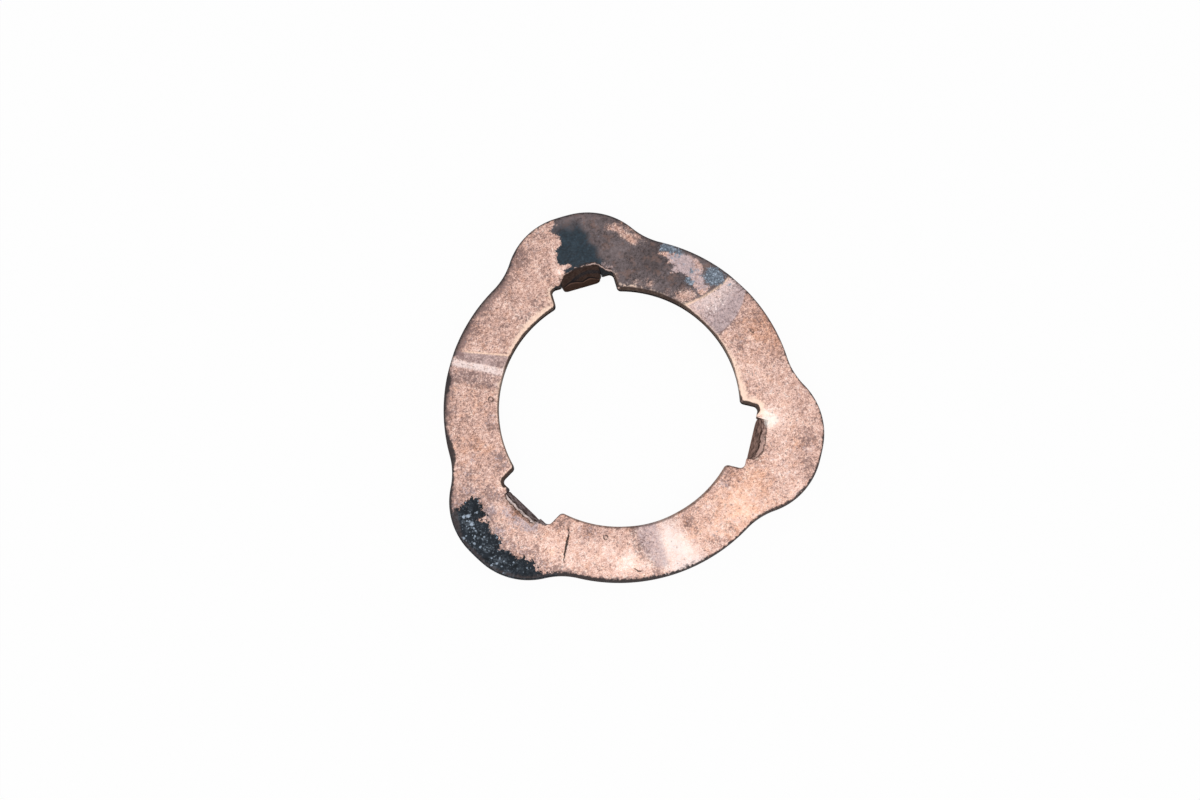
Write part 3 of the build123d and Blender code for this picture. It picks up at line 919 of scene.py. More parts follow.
def place_marks(surface, size):
    """Values at every point that say where each finish shows, as plain arrays.

    Gaps are signed distances in millimetres, positive inside a patch. Levels run about 0 to 1.
    The underside takes fewer marks than the rest.
    """
    xy = surface["points"][:, :2]
    top = surface["kind"] != SEAT
    marks = {name: values * top for name, values in groove_marks(xy).items()}
    marks["scale_gap"] = area_gap(xy, SCALE_AREA)
    marks["scale_brown"] = spots(xy, SCALE_BROWN)
    marks["tarnish_gap"] = np.minimum(area_gap(xy, TARNISH_AREA), -area_gap(xy, PINK_AREA))
    marks["streak_gap"] = area_gap(xy, STREAK_AREA)
    marks["char"] = char_level(xy)
    off, opened = crack_marks(xy)
    marks["crack_off"], marks["crack_open"] = off, opened * top
    marks["pit_gap"] = np.where(top, np.minimum.reduce(pit_gaps(xy)), 5)
    for name, rows in SPOTS.items():
        marks[name] = spots(xy, rows) * top
    # Rub level, raised in places by painted highlight towards -y and +x
    marks["rubbed"] = 0.12 + spots(xy, RUBBED_AND_LIT) * np.where(top, 1.0, 0.3) - np.where(top, 0.0, 0.25)
    marks["warm"] = spots(xy, WARM)
    marks["film"] = (spots(xy, FILM_SPOTS) + marks.pop("groove_dots")) * np.where(top, 1.0, 0.4)
    # Grime that gathers along the edge of the scale
    grime = bell(marks["scale_gap"] + 0.7, 0.9) * top
    for name, amount in (("haze", 0.3), ("film", 0.9), ("frost", 0.12)):
        marks[name] += amount * grime
    for name, rim, table in WIDTHS:
        marks[name] = by_angle(xy, table) - surface[rim]
    marks["edge_line"] = -surface["edge_gap"]
    marks["bore_dark"] = by_angle(xy, BORE_DARK)
    marks["along"] = surface["along"]
    marks.update(tab_marks(xy, surface, size))
    for name in ("scale_gap", "tarnish_gap"):
        marks[name] = np.where(top, marks[name], marks[name] - 2.5)
    return {name: np.asarray(values, np.float32) for name, values in marks.items()}


# ---------------------------------------------------------------- nodes


class Wiring:
    """Adds nodes to one tree and links them, so that a finish reads as a few lines.

    Wherever a value is wanted, a number, an output or the name of a mark on the mesh will do. A
    finish is built up as coats: self.colour holds its colour so far.
    """

    def __init__(self, tree, colours=None, groups=None):
        self.tree, self.colours, self.groups = tree, colours, groups
        self.colour = None

    def node(self, kind, inputs=(), **settings):
        """Adds a node with its settings; inputs pairs an input's name or number with a value or output."""
        new = self.tree.nodes.new(kind)
        for key, value in settings.items():
            setattr(new, key, value)
        for key, value in dict(inputs).items():
            self.feed(new.inputs[key], value)
        return new

    def feed(self, socket, value):
        """Links an output or a mark to the socket, or sets the socket's own value."""
        if isinstance(value, str):
            value = self.mark(value)
        if isinstance(value, bpy.types.NodeSocket):
            self.tree.links.new(value, socket)
        elif isinstance(value, (tuple, list)) and len(value) == 3 and socket.type == "RGBA":
            socket.default_value = (*value, 1.0)
        else:
            socket.default_value = value

    def mark(self, name):
        """One of the values that the mesh holds at its points."""
        return self.node("ShaderNodeAttribute", attribute_name=name, attribute_type="GEOMETRY").outputs["Fac"]

    def math(self, operation, a, b=0.0, c=0.0):
        return self.node("ShaderNodeMath", {0: a, 1: b, 2: c}, operation=operation).outputs[0]

    def times(self, *values):
        """Product of several values."""
        return reduce(lambda a, b: self.math("MULTIPLY", a, b), values)

    def plus(self, *values):
        """Sum of several values."""
        return reduce(lambda a, b: self.math("ADD", a, b), values)

    def most(self, *values):
        """Largest of several values."""
        return reduce(lambda a, b: self.math("MAXIMUM", a, b), values)

    def around(self, value, amount):
        """A value from 0 to 1 turned into one from minus to plus half the amount."""
        return self.times(self.math("SUBTRACT", value, 0.5), amount)

    def stir(self, value, *noises):
        """Value with noises added that run from 0 to 1, each with how far it swings the value."""
        return self.plus(value, *(self.around(noise, swing) for noise, swing in noises))

    def gap(self, a, b):
        """How far two values are apart."""
        return self.math("ABSOLUTE", self.math("SUBTRACT", a, b))

    def band(self, value, low, high, to_low=0.0, to_high=1.0, smoothly=True):
        """Value mapped from low..high to to_low..to_high, with soft ends."""
        inputs = {0: value, 1: low, 2: high, 3: to_low, 4: to_high}
        kind = "SMOOTHSTEP" if smoothly else "LINEAR"
        return self.node("ShaderNodeMapRange", inputs, interpolation_type=kind).outputs[0]

    def ramp(self, *given):
        """A band with straight ends."""
        return self.band(*given, smoothly=False)

    def ridge(self, value, middle, inner, outer):
        """1 within inner of a level, falling to 0 at outer."""
        return self.band(self.gap(value, middle), outer, inner)

    def mix(self, share, a, b, mode="MIX"):
        """Colour between a and b."""
        inputs = {0: share, 6: a, 7: b}
        return self.node("ShaderNodeMix", inputs, data_type="RGBA", blend_type=mode).outputs[2]

    def coat(self, share, colour, mode="MIX"):
        """Lays a colour over what the finish shows so far."""
        self.colour = self.mix(share, self.colour, colour, mode)

    def blend(self, share, a, b):
        """Value between a and b."""
        return self.node("ShaderNodeMix", {0: share, 2: a, 3: b}, data_type="FLOAT").outputs[0]

    def vector(self, operation, a, b):
        return self.node("ShaderNodeVectorMath", {0: a, 1: b}, operation=operation).outputs[0]

    def place(self):
        """Object coordinates in millimetres."""
        coords = self.node("ShaderNodeTexCoord").outputs["Object"]
        return self.node("ShaderNodeVectorMath", {0: coords, "Scale": MM}, operation="SCALE").outputs[0]

    def noise(self, vector, scale, detail=4.0, rough=0.6, warp=0.0):
        inputs = {"Vector": vector, "Scale": scale, "Detail": detail, "Roughness": rough, "Distortion": warp}
        return self.node("ShaderNodeTexNoise", inputs).outputs["Fac"]

    def shade(self, name, factor=1.0):
        """One of the finish's colours, made lighter or darker."""
        return [min(1.0, c * factor) for c in getattr(self.colours, name)]

    def shades(self, name, share, low, high):
        """One of the finish's colours, running from one shade to another."""
        return self.mix(share, self.shade(name, low), self.shade(name, high))

    def effect(self, name, **inputs):
        """A shared effect in a finish, with its own values; returns the outputs."""
        new = self.node("ShaderNodeGroup", node_tree=self.groups[name])
        for key, value in inputs.items():
            self.feed(new.inputs[key.title()], value)
        return new.outputs

    def specks(self, **inputs):
        """Mask of scattered specks."""
        return self.effect("specks", **inputs)["Mask"]

    def end(self, metallic, gloss, rough, height, strength, deep):
        """Ends a finish: its colours so far, its shine, and fine relief of a depth in metres."""
        bump = self.node("ShaderNodeBump", {"Height": height, "Strength": strength, "Distance": deep})
        inputs = {"Base Color": self.colour, "Metallic": metallic, "Specular IOR Level": gloss}
        inputs.update({"Roughness": rough, "Normal": bump.outputs[0]})
        shader = self.node("ShaderNodeBsdfPrincipled", inputs)
        self.node("ShaderNodeOutputMaterial", {0: shader.outputs[0]})


def new_group(name, inputs, outputs):
    """A shader node group with named inputs (name, default) and outputs; returns its wiring and ends."""
    tree = bpy.data.node_groups.new(name, "ShaderNodeTree")
    for label, default in inputs:
        socket = tree.interface.new_socket(name=label, in_out="INPUT", socket_type="NodeSocketFloat")
        socket.default_value = default
    for label in outputs:
        tree.interface.new_socket(name=label, in_out="OUTPUT", socket_type="NodeSocketFloat")
    wiring = Wiring(tree)
    start = wiring.node("NodeGroupInput")
    end = wiring.node("NodeGroupOutput")
    return tree, wiring, start.outputs, end.inputs


def grain_group():
    """Fine mottle of worn metal, 0 to 1, and its height: a coarse and a fine noise added."""
    tree, w, given, out = new_group("Metal Grain", (("Size", 0.8), ("Seed", 0.0)), ("Mottle", "Height"))
    place = w.vector("ADD", w.place(), given["Seed"])
    coarse = w.noise(place, w.math("DIVIDE", 1.0, given["Size"]), 6.0, 0.7, 0.2)
    fine = w.noise(place, w.math("DIVIDE", 2.6, given["Size"]), 3.0, 0.6)
    both = w.math("MULTIPLY_ADD", fine, 0.5, w.times(coarse, 0.5))
    w.feed(out["Mottle"], w.ramp(both, 0.4, 0.6))
    w.feed(out["Height"], both)
    return tree


def ragged_group():
    """Mask of a patch with a ragged edge: a signed distance plus two noises, cut near nought."""
    inputs = (("Gap", 0.0), ("Ragged", 0.8), ("Grain", 1.0), ("Soft", 0.1))
    tree, w, given, out = new_group("Ragged Patch", inputs, ("Mask",))
    place = w.place()
    rough = w.noise(place, w.math("DIVIDE", 1.0, given["Grain"]), 6.0, 0.72, 0.5)
    fine = w.noise(place, w.math("DIVIDE", 3.6, given["Grain"]), 3.0, 0.7)
    both = w.math("SUBTRACT", w.math("MULTIPLY_ADD", fine, 0.35, w.times(rough, 0.65)), 0.5)
    moved = w.math("MULTIPLY_ADD", both, w.times(given["Ragged"], 6.0), given["Gap"])
    w.feed(out["Mask"], w.band(moved, w.times(given["Soft"], -1.0), given["Soft"]))
    return tree


def speck_group():
    """Scattered specks: uneven round cells of random size, of which only a share is kept."""
    inputs = (("Spacing", 0.8), ("Size", 0.4), ("Share", 0.4), ("Seed", 0.0))
    tree, w, given, out = new_group("Specks", inputs, ("Mask",))
    place = w.vector("ADD", w.place(), given["Seed"])
    jog = w.noise(place, w.math("DIVIDE", 2.2, given["Spacing"]), 3.0, 0.6)
    scale = w.math("DIVIDE", 1.0, given["Spacing"])
    cell = w.node("ShaderNodeTexVoronoi", {"Vector": place, "Scale": scale, "Randomness": 1.0}).outputs
    chance = w.node("ShaderNodeSeparateColor", {0: cell["Color"]}).outputs
    kept = w.math("LESS_THAN", chance[0], given["Share"])
    reach = w.times(given["Size"], w.ramp(chance[1], 0.0, 1.0, 0.4, 1.0))
    away = w.math("MULTIPLY_ADD", w.math("SUBTRACT", jog, 0.5), 0.7, cell["Distance"])
    w.feed(out["Mask"], w.times(w.band(away, reach, w.times(reach, 0.5)), kept))
    return tree


def film_group():
    """Fine purple-brown film that gathers in the grain: noise cut at a level set by its crowding."""
    inputs = (("Crowding", 0.3), ("Size", 0.5), ("Seed", 0.0))
    tree, w, given, out = new_group("Grain Film", inputs, ("Mask",))
    place = w.vector("ADD", w.place(), given["Seed"])
    fine = w.noise(place, w.math("DIVIDE", 1.0, given["Size"]), 4.0, 0.7, 0.3)
    patchy = w.math("SUBTRACT", w.noise(place, 0.6, 5.0, 0.65), 0.5)
    crowd = w.math("MULTIPLY_ADD", patchy, 0.4, w.times(given["Crowding"], 0.135))
    w.feed(out["Mask"], w.band(w.plus(fine, crowd), 0.5, 0.64))
    return tree


def shared_groups():
    """The effects that the finishes share, made once."""
    return {"grain": grain_group(), "ragged": ragged_group(), "specks": speck_group(), "film": film_group()}


def new_finish(name, colours=None, groups=None):
    """An empty material and its wiring."""
    finish = bpy.data.materials.new(name)
    finish.use_nodes = True
    finish.node_tree.nodes.clear()
    return finish, Wiring(finish.node_tree, colours, groups)


def bare_bronze(w):
    """Rubbed bronze with mottle, warm and cool patches and painted highlight; returns both grains and how
    rubbed and lit it is.
    """
    grain = w.effect("grain", size=0.55, seed=0.0)
    broad = w.effect("grain", size=2.6, seed=31.0)
    swing = w.band("rubbed", 0.1, 0.8, 1.3, 0.75)
    lift = w.stir("rubbed", (grain["Mottle"], swing), (broad["Mottle"], 0.4))
    w.colour = w.mix(w.band(lift, -0.7, 0.0), w.shade("bronze", 0.42), w.shade("bronze"))
    w.coat(w.band(lift, -0.05, 0.5), w.shade("bright"))
    w.coat(w.band(lift, 0.4, 1.2), w.shade("burnished"))
    hue = w.noise(w.place(), 0.75, 5.0, 0.7)
    warmth = w.stir("warm", (hue, 4.0))
    w.coat(w.band(warmth, -0.1, 1.3), (1.0, 0.87, 0.75), "MULTIPLY")
    w.coat(w.band(warmth, 0.1, -1.3), (0.90, 0.95, 1.0), "MULTIPLY")
    return grain, broad["Mottle"], lift


def grain_film(w, lift):
    """Purple-brown film and dots that sit in the grain of the bronze."""
    crowd = w.math("MINIMUM", "film", 0.7)
    crowd = w.plus(crowd, w.times("rubbed", -0.8), w.times("groove_shine", -1.3))
    film = w.effect("film", crowding=crowd, size=0.4, seed=5.0)["Mask"]
    deep = w.shades("film", w.noise(w.place(), 1.7, 4.0, 0.7), 0.55, 1.6)
    clear = w.band(w.plus("rubbed", w.times("groove_shine", 0.6)), 0.25, 0.95, 0.68, 0.42)
    w.coat(w.times(film, clear), deep)
    share = w.plus(lift, w.times("film", -0.8), w.times("groove_shine", 0.8))
    share = w.band(share, -0.6, 0.6, 0.9, 0.28)
    dots = w.specks(spacing=0.6, size=0.36, share=share, seed=9.0)
    w.coat(w.times(dots, clear), deep)


def face_finish(colours, groups):
    """Worn bronze of the thrust face and seat face, with its films, scale and specks."""
    finish, w = new_finish("worn_bronze", colours, groups)
    grain, broad, lift = bare_bronze(w)
    fine = grain["Mottle"]
    middle = w.effect("grain", size=1.1, seed=57.0)["Mottle"]

    # Grey-lilac film, in the grooves and in patches, under the film in the grain; in the grooves it is
    # partly painted shade on the flanks facing away from the light
    lilac = w.mix("groove_dull", w.shade("lilac"), w.shade("dull"))
    tints = ((0.74, 0.74, 0.76), (1.24, 1.2, 1.2))
    lilac = w.mix(fine, *(w.mix(1.0, lilac, tint, "MULTIPLY") for tint in tints))
    film = w.band(w.stir("groove_film", (middle, 0.3)), 0.1, 1.0)
    haze = w.most(film, w.band(w.stir("haze", (middle, 1.0), (fine, 0.4)), 0.25, 1.0))
    w.coat(w.times(haze, 0.88), lilac)
    # Rubbed groove beds, partly a painted highlight
    broken = w.band(w.stir(fine, (middle, 0.8)), 0.0, 0.8, 0.5, 1.0)
    w.coat(w.times("groove_shine", broken), w.shade("shine"))
    grain_film(w, lift)

    # Heat tarnish, charred to blue-black in the middle of the first lobe
    tarnish = w.effect("ragged", gap="tarnish_gap", ragged=0.55, grain=0.9, soft=0.12)["Mask"]
    mottle = w.plus(w.times(fine, 0.5), w.times(middle, 0.7), -0.1)
    stain = w.shades("tarnish", mottle, 0.4, 1.65)
    cloud = w.noise(w.place(), 0.55, 6.0, 0.7)
    pale = w.band(w.stir("deep", (cloud, 3.4)), 0.35, -0.9, 0.0, 0.8)
    stain = w.mix(pale, stain, w.shades("lilac", middle, 0.36, 0.56))
    stain = w.mix(w.band("deep", 0.3, 1.3, 0.0, 0.5), stain, w.shade("tarnish", 0.45))
    ruddy = w.band(w.noise(w.place(), 0.7, 5.0, 0.65), 0.5, 0.64, 0.0, 0.5)
    stain = w.mix(ruddy, stain, w.shade("bronze", 0.4))
    char = w.band(w.stir("char", (fine, 0.12), (middle, 0.2)), 0.03, 0.95)
    charred = w.shades("char", w.plus(w.times(middle, 0.6), w.times(cloud, 0.5)), 0.6, 2.15)
    stain = w.mix(char, stain, charred)
    thin = w.band(w.stir("thin", (fine, 0.5)), 0.28, 0.85)
    streak = w.band(w.stir("streak_gap", (fine, 0.5), (cloud, 1.6)), -0.35, 0.45)
    cover = w.times(tarnish, w.ramp(w.most(thin, streak), 0.0, 1.0, 0.98, 0.14))
    w.coat(cover, stain)

    # Crests and edges of the grooves; a crest's bright line is partly wear, partly a painted highlight
    line = w.times("groove_edge", w.band(fine, 0.7, 0.3), 0.75)
    w.coat(line, w.shade("film"))
    w.coat(w.times("groove_crest", w.band(middle, 0.0, 0.6, 0.55, 0.9)), w.shade("crest"))

    # Rims: rubbed metal with a painted highlight at the bore, dark film over the outer edge, a painted dark
    # reflection on the outer edge's roll, and painted shade on the bore's roll for its shaded wall
    rub_and_sheen = w.band(w.stir("rim_rub", (middle, 0.6), (fine, 0.25)), -0.3, 0.6)
    streaky = w.blend(tarnish, 0.92, w.band(middle, 0.4, 0.75, 0.08, 0.95))
    w.coat(w.times(rub_and_sheen, streaky), w.shade("rim"))
    edge = w.band(w.stir("edge_film", (middle, 0.9), (fine, 0.4)), -0.4, 0.4)
    smoke = w.mix(w.band("edge_line", -1.0, -0.25), w.shade("film", 1.25), w.shade("soot_and_shade", 1.2))
    w.coat(w.times(edge, 0.82), smoke)
    # Painted dark reflection along the outer edge's roll
    line = w.band(w.stir("edge_dark", (middle, 0.25)), -0.12, 0.14)
    w.coat(w.times(line, 0.85), w.shade("soot_and_shade"))
    # Painted shade on the bore's roll, standing in for the shaded bore wall
    bore = w.times(w.band(w.stir("bore_film", (middle, 0.16)), -0.14, 0.1), "bore_dark")
    w.coat(bore, w.shade("tab", 0.6))

    # Black scale with pale specks, and mineral bloom
    scale = w.effect("ragged", gap="scale_gap", ragged=0.75, grain=0.8, soft=0.07)["Mask"]
    crust = w.shades("scale", broad, 0.55, 1.5)
    brown = w.band(w.plus("edge_line", "scale_brown", w.around(middle, 0.5)), -0.85, -0.35)
    crust = w.mix(brown, crust, w.shades("tarnish", fine, 0.3, 0.75))
    crust = w.mix(w.band("edge_line", -0.3, -0.1), crust, w.shade("scale", 0.7))
    w.coat(scale, crust)
    mist = w.band(w.effect("grain", size=1.0, seed=41.0)["Mottle"], 0.5, 1.0)
    dusty = w.ramp("frost", 0.0, 0.9, 0.12, 0.55)
    w.coat(w.times(mist, scale, dusty), w.shade("frost", 0.55))
    faint = w.specks(spacing=0.46, size=0.4, share=w.ramp("frost", 0.0, 1.0, 0.1, 0.9), seed=23.0)
    w.coat(w.times(faint, scale, 0.5), w.shade("frost"))
    frost = w.specks(spacing=0.7, size=0.42, share=w.ramp("frost", 0.0, 0.8, 0.06, 0.9), seed=3.0)
    frost = w.times(frost, w.most(scale, w.band("frost", 0.2, 0.5)))
    w.coat(w.times(frost, 0.85), w.shade("frost", 1.1))
    large = w.specks(spacing=0.8, size=0.55, share=w.ramp("frost", 0.7, 1.4, 0.0, 0.9), seed=17.0)
    w.coat(w.times(large, 0.9), w.shade("frost", 1.35))
    bloom = w.band(w.stir("bloom", (middle, 0.5), (fine, 0.4)), 0.32, 0.62)
    pale = w.specks(spacing=0.42, size=0.6, share=0.92, seed=13.0)
    pale = w.most(pale, w.band(fine, 0.45, 0.8, 0.0, 0.55))
    bloom_tone = w.mix(w.times(pale, 0.85), w.shade("bloom", 0.9), w.shade("frost", 1.2))
    w.coat(w.times(bloom, 0.92), bloom_tone)
    # Painted glints, mostly along the groove at 30 degrees
    glints = w.specks(spacing=0.4, size=0.5, share=w.ramp("glints", 0.1, 1.0, 0.0, 0.85), seed=31.0)
    w.coat(w.times(glints, 0.8), w.shade("shine", 1.1))

    # Stain round the tabs, with painted shade beside their roots and a painted highlight along the crease at
    # its start
    stained = tab_stain(w, fine)

    # The crack and the ring pits
    crack = w.math("ABSOLUTE", w.stir("crack_off", (middle, 0.2)))
    crack = w.band(w.math("SUBTRACT", w.times("crack_open", 0.27), crack), 0.0, 0.12)
    pits = w.ridge(w.stir("pit_gap", (fine, 0.12)), 0.0, 0.04, 0.2)
    pits = w.times(pits, w.band(middle, 0.1, 0.6, 0.3, 0.85))
    w.coat(w.most(w.times(crack, 0.92), pits), w.shade("cut", 1.2))

    # Dull where anything covers the metal, and smoother where it is rubbed
    dull = w.most(scale, stained, w.times(char, cover), crack, w.most(line, bore))
    metallic = w.blend(dull, w.blend(cover, 0.8, 0.6), 0.15)
    rough = w.blend(rub_and_sheen, w.blend(dull, w.blend(tarnish, 0.42, 0.5), 0.58), 0.36)
    rough = w.stir(rough, (fine, 0.12))
    height = w.math("MULTIPLY_ADD", scale, 0.3, grain["Height"])
    w.end(metallic, 0.15, rough, height, 0.6, 0.0001)
    return finish


def wrinkles(w):
    """Noise drawn out across a tab, so that its dark and pale lines follow the bend."""
    across = w.times("tab_u", 0.55)
    down = w.times("tab_past", 1.5)
    place = w.node("ShaderNodeCombineXYZ", {0: across, 1: down, 2: 0.0}).outputs[0]
    return w.noise(place, 1.7, 4.0, 0.62, 0.4)


def tab_stain(w, fine):
    """Dark wrinkled stain over a tab's bend, painted shade beside its root, and the crease as a painted
    highlight; returns its mask.
    """
    ripple = w.noise(w.place(), 1.1, 3.0, 0.6)
    crumple = w.noise(w.place(), 2.4, 3.0, 0.6)
    past = w.stir("tab_past", (ripple, 0.8), (crumple, 0.45))
    folds = wrinkles(w)
    stained = w.band(past, -0.1, 0.1)
    brown = w.mix(w.band("tab_light", 0.2, 0.9), w.shade("tab", 0.42), w.shade("bronze", 0.8))
    brown = w.mix(w.band(folds, 0.6, 0.38, 0.0, 0.85), brown, w.shade("tab", 0.3))
    brown = w.mix(w.times(fine, 0.4), brown, w.shade("tab", 0.5))
    blue = w.mix(w.band(folds, 0.38, 0.62), w.shade("film", 0.3), w.shade("lilac", 0.55))
    stain = w.mix(w.band("tab_blue", 0.25, 0.9), brown, blue)
    fold = w.ridge(w.stir("tab_fold", (ripple, 0.6)), 0.0, 0.16, 0.5)
    fold = w.times(fold, w.band("tab_light", 0.2, 0.9, 0.95, 0.35), w.band("tab_blue", 0.3, 0.8, 1.0, 0.3))
    # Black along the fold, and painted shade beside the tab's root
    stain = w.mix(w.most(fold, "tab_side"), stain, w.shade("scale", 0.6))
    w.coat(w.times(stained, 0.96), stain)
    # The crease: a pale painted highlight along it, between two thin dark lines, broken where it is weak
    wide, strong = "tab_wide", "tab_crease"
    middle = w.plus(wide, -0.02)
    away = w.gap(past, middle)
    line = w.band(w.math("SUBTRACT", away, wide), 0.14, 0.0)
    broken = w.band(w.plus(w.around(crumple, 2.2), w.around(folds, 1.5), strong), 0.35, 1.0)
    pale = w.mix("tab_blue", w.shade("bronze", 1.05), w.shade("shine", 1.1))
    pale = w.mix(w.band(folds, 0.54, 0.4, 0.0, 0.55), pale, w.shade("film", 0.8))
    beside = w.band(w.gap(away, w.plus(wide, 0.18)), 0.2, 0.06)
    beside = w.times(beside, w.band(strong, 0.0, 0.8), w.band(crumple, 0.36, 0.5, 0.25, 0.9))
    w.coat(beside, w.shade("tab", 0.45))
    w.coat(w.times(line, broken, w.band(strong, 0.0, 0.6, 0.3, 0.95)), pale)
    return stained


def cut_finish(colours, groups):
    """Old cut edge of the strip: near black, with dragged upright lines and brown patches."""
    finish, w = new_finish("cut_edge", colours, groups)
    grain = w.effect("grain", size=0.6, seed=7.0)
    stretched = w.vector("MULTIPLY", w.place(), (1.0, 1.0, 0.12))
    drag = w.noise(stretched, 3.5, 3.0, 0.6)
    w.colour = w.shades("cut", grain["Mottle"], 0.5, 1.6)
    brown = w.band(w.noise(w.place(), 0.3, 3.0, 0.6), 0.5, 0.7)
    w.coat(w.times(brown, 0.5), w.shade("tab", 0.8))
    w.coat(w.band(drag, 0.55, 0.75, 0.0, 0.4), w.shade("bronze", 0.25))
    height = w.math("MULTIPLY_ADD", drag, 0.7, w.times(grain["Height"], 0.5))
    w.end(0.0, 0.0, 0.7, height, 0.6, 0.00015)
    return finish


def tab_finish(colours, groups):
    """Brown bronze of the bent tabs: black where the stain starts, brown below two humps, painted shadow
    above them and painted highlight on their crests.
    """
    finish, w = new_finish("tab_bronze", colours, groups)
    grain, broad, lift = bare_bronze(w)
    fine = grain["Mottle"]
    grain_film(w, lift)
    stained = tab_stain(w, fine)
    hump = w.stir("tab_hump", (w.noise(w.place(), 0.8, 2.0), 0.25))
    plain = w.band("tab_blue", 0.4, 0.8, 1.0, 0.0)
    humped = w.times(plain, w.band("tab_light", 0.3, 0.9, 1.0, 0.3))
    face = w.shades("tab", "tab_light", 0.85, 3.2)
    face = w.mix(w.band(broad, 0.35, 0.8, 0.0, 0.5), face, w.shade("tab", 0.4))
    face = w.mix(w.times(fine, 0.35), face, w.shade("tab", 0.4))
    w.coat(w.times(stained, w.band(hump, -0.1, 0.08), humped), face)
    shadow = w.ridge(hump, -0.2, 0.08, 0.26)
    w.coat(w.times(stained, shadow, humped, 0.85), w.shade("soot_and_shade", 0.4))
    lit = w.ridge(hump, 0.1, 0.03, 0.17)
    w.coat(w.times(stained, lit, humped, 0.75), w.shade("tab", 2.1))
    leg = w.shades("tab", "tab_light", 0.6, 3.4)
    leg = w.mix("tab_blue", leg, w.shade("film", 0.42))
    w.coat(w.times(w.band("along", 2.4, 3.3), w.math("SUBTRACT", 1.0, humped)), leg)
    w.end(0.0, 0.0, 0.6, grain["Height"], 0.5, 0.0002)
    return finish


# ---------------------------------------------------------------- operators


def add_mesh(name, points, faces):
    """A mesh object at the origin from points in metres and quads."""
    mesh = bpy.data.meshes.new(name)
    mesh.vertices.add(len(points))
    mesh.vertices.foreach_set("co", np.asarray(points, np.float32).ravel())
    mesh.loops.add(faces.size)
    mesh.loops.foreach_set("vertex_index", faces.astype(np.int32).ravel())
    mesh.polygons.add(len(faces))
    mesh.polygons.foreach_set("loop_start", np.arange(0, faces.size, 4, dtype=np.int32))
    mesh.polygons.foreach_set("use_smooth", np.ones(len(faces), bool))
    mesh.update(calc_edges=True)
    mesh.validate()
    piece = bpy.data.objects.new(name, mesh)
    bpy.context.scene.collection.objects.link(piece)
    return piece


class WASHER_OT_stamping(bpy.types.Operator):
    """Makes the whole stamping as one closed surface and gives it its finishes"""

    bl_idname = "washer.stamping"
    bl_label = "Make stamping"

    def execute(self, context):
        sizes = context.scene.washer_sizes
        colours = context.scene.washer_finish
        size = in_mm(sizes)
        surface = washer_surface(size, sizes.crest)
        piece = add_mesh("washer_stamping", surface["points"] / MM, surface["faces"])
        groups = shared_groups()
        finishes = {face_finish: (FACE, SEAT), cut_finish: (OUTER_WALL, INNER_WALL), tab_finish: (TAB,)}
        slots = np.zeros(len(surface["faces"]), int)
        for number, (finish, kinds) in enumerate(finishes.items()):
            piece.data.materials.append(finish(colours, groups))
            slots[np.isin(surface["face_kind"], kinds)] = number
        piece.data.polygons.foreach_set("material_index", slots.astype(np.int32))
        for name, values in place_marks(surface, size).items():
            layer = piece.data.attributes.new(name, "FLOAT", "POINT")
            layer.data.foreach_set("value", values)
        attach(piece, "root")
        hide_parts(NODE)
        return {"FINISHED"}


class WASHER_OT_stage(bpy.types.Operator):
    """Makes the floor, the lamps, the world and the camera"""

    bl_idname = "washer.stage"
    bl_label = "Make stage"

    def execute(self, context):
        make_floor(CAD_BOX[0].z)
        make_world(context.scene)
        make_lamps()
        make_camera(context.scene)
        context.scene.view_settings.view_transform = "Standard"
        return {"FINISHED"}


def shows_background(w):
    """1 for rays that see the background as white: from the camera, reflections and glass."""
    path = w.node("ShaderNodeLightPath").outputs
    return w.most(path["Is Camera Ray"], path["Is Glossy Ray"], path["Is Transmission Ray"])


def make_floor(height):
    """Plain pale floor that keeps a soft shadow and reads as white round it."""
    half_width, clearance = 1.5, 0.00002
    corners = np.array([(-1, -1), (1, -1), (1, 1), (-1, 1)]) * half_width
    points = np.concatenate([corners, np.full((4, 1), height - clearance)], 1)
    floor = add_mesh("floor", points, np.array([[0, 1, 2, 3]]))
    finish, w = new_finish("pale_floor")
    matt = w.node("ShaderNodeBsdfDiffuse", {"Color": (0.97, 0.97, 0.97)})
    white = w.node("ShaderNodeEmission", {"Color": (1.0, 1.0, 1.0), "Strength": 1.0})
    share = w.times(shows_background(w), 0.96)
    both = w.node("ShaderNodeMixShader", {0: share, 1: matt.outputs[0], 2: white.outputs[0]})
    w.node("ShaderNodeOutputMaterial", {0: both.outputs[0]})
    floor.data.materials.append(finish)


def make_world(scene):
    """White where it is seen, and a plain fill light elsewhere."""
    world = bpy.data.worlds.new("pale_room")
    scene.world = world
    world.use_nodes = True
    world.node_tree.nodes.clear()
    w = Wiring(world.node_tree)
    fill = w.node("ShaderNodeBackground", {"Color": (1.0, 1.0, 1.0), "Strength": 0.6})
    white = w.node("ShaderNodeBackground", {"Color": (1.0, 1.0, 1.0), "Strength": 1.0})
    both = w.node("ShaderNodeMixShader", {0: shows_background(w), 1: fill.outputs[0], 2: white.outputs[0]})
    w.node("ShaderNodeOutputWorld", {0: both.outputs[0]})


def add_lamp(name, place, wide, power):
    """A square area lamp that faces the washer; power is in watts."""
    lamp = bpy.data.lights.new(name, "AREA")
    lamp.shape = "SQUARE"
    lamp.size = wide
    lamp.energy = power
    holder = bpy.data.objects.new(name, lamp)
    holder.location = place
    holder.rotation_euler = (-Vector(place)).to_track_quat("-Z", "Y").to_euler()
    bpy.context.scene.collection.objects.link(holder)


def make_lamps():
    """A soft lamp low on the near left side for relief, and a wide one overhead."""
    add_lamp("near_softbox", (-0.13, -0.26, 0.50), 0.20, 0.5)
    add_lamp("top_softbox", (0.05, 0.00, 0.60), 0.24, 0.22)


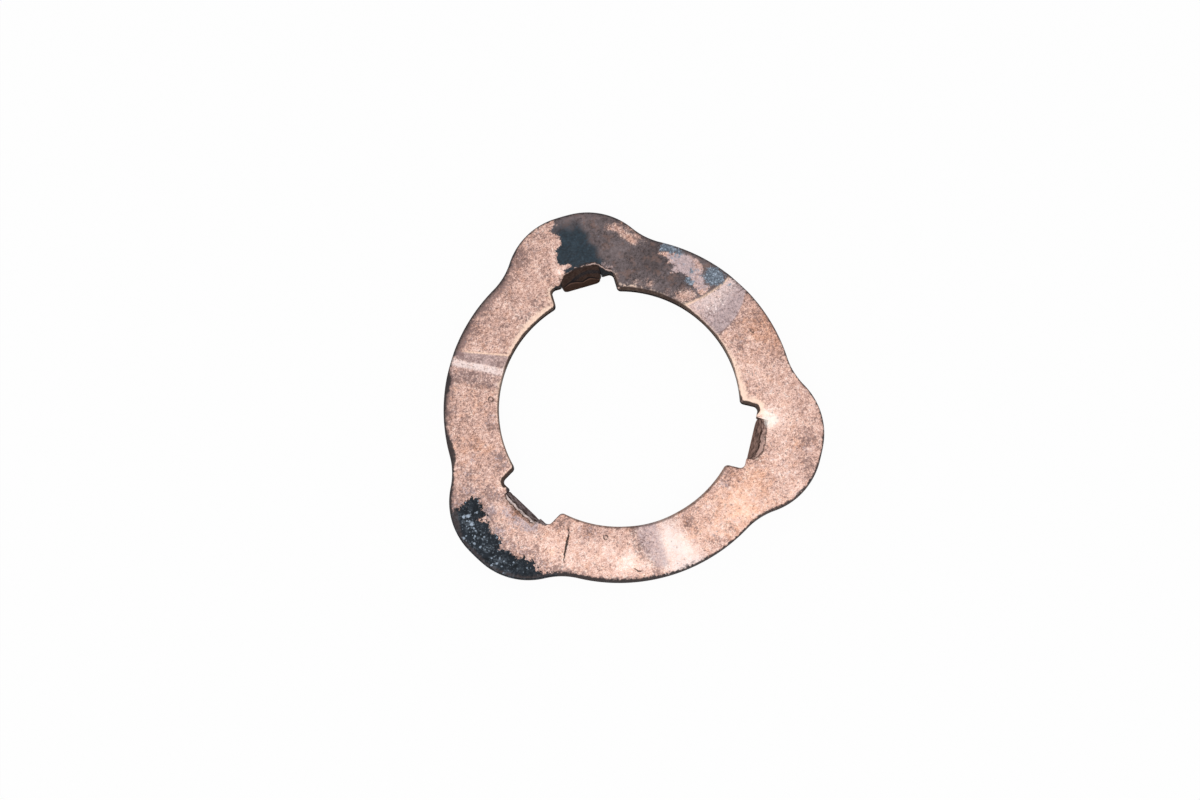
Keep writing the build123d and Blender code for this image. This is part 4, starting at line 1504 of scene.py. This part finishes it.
def make_camera(scene):
    """Camera above the near side; its tilt from overhead, heading and roll are in degrees."""
    shift_right, shift_up, frame_width = -19.26, 6.4, 1200
    target = Vector((0.0, 0.0, 0.0015))
    distance, tilt, heading, roll = 0.3201, 11.562, -102.67, -3.776
    t, h = math.radians(tilt), math.radians(heading)
    back = Vector((math.sin(t) * math.cos(h), math.sin(t) * math.sin(h), math.cos(t)))
    level = Vector((-back.y, back.x, 0.0)).normalized()
    turned = Matrix.Rotation(math.radians(roll), 3, back)
    right = turned @ level
    up = back.cross(right)
    data = bpy.data.cameras.new("view_camera")
    data.sensor_width = 36.0
    data.lens = 56.37
    data.shift_x, data.shift_y = shift_right / frame_width, shift_up / frame_width
    data.clip_start, data.clip_end = 0.01, 10.0
    camera = bpy.data.objects.new("view_camera", data)
    turn = Matrix((right, up, back)).transposed().to_4x4()
    camera.matrix_world = Matrix.Translation(target + back * distance) @ turn
    scene.collection.objects.link(camera)
    scene.camera = camera


class WASHER_PT_panel(bpy.types.Panel):
    """Sizes, colours and buttons of the washer"""

    bl_idname = "WASHER_PT_panel"
    bl_label = "Thrust Washer"
    bl_space_type = "VIEW_3D"
    bl_region_type = "UI"
    bl_category = "Washer"

    def draw(self, context):
        column = self.layout.column()
        for operator in OPERATORS:
            column.operator(operator.bl_idname)
        for holder in (context.scene.washer_sizes, context.scene.washer_finish):
            box = self.layout.box()
            for name in type(holder).__annotations__:
                box.prop(holder, name)


OPERATORS = (WASHER_OT_stamping, WASHER_OT_stage)
CLASSES = (WasherSizes, WasherFinish, *OPERATORS, WASHER_PT_panel)


def register():
    for one in CLASSES:
        bpy.utils.register_class(one)
    bpy.types.Scene.washer_sizes = PointerProperty(type=WasherSizes)
    bpy.types.Scene.washer_finish = PointerProperty(type=WasherFinish)


def unregister():
    del bpy.types.Scene.washer_finish
    del bpy.types.Scene.washer_sizes
    for one in reversed(CLASSES):
        bpy.utils.unregister_class(one)


def main():
    """Makes everything in order."""
    register()
    bpy.ops.washer.stamping()
    bpy.ops.washer.stage()


if __name__ == "__main__":
    main()
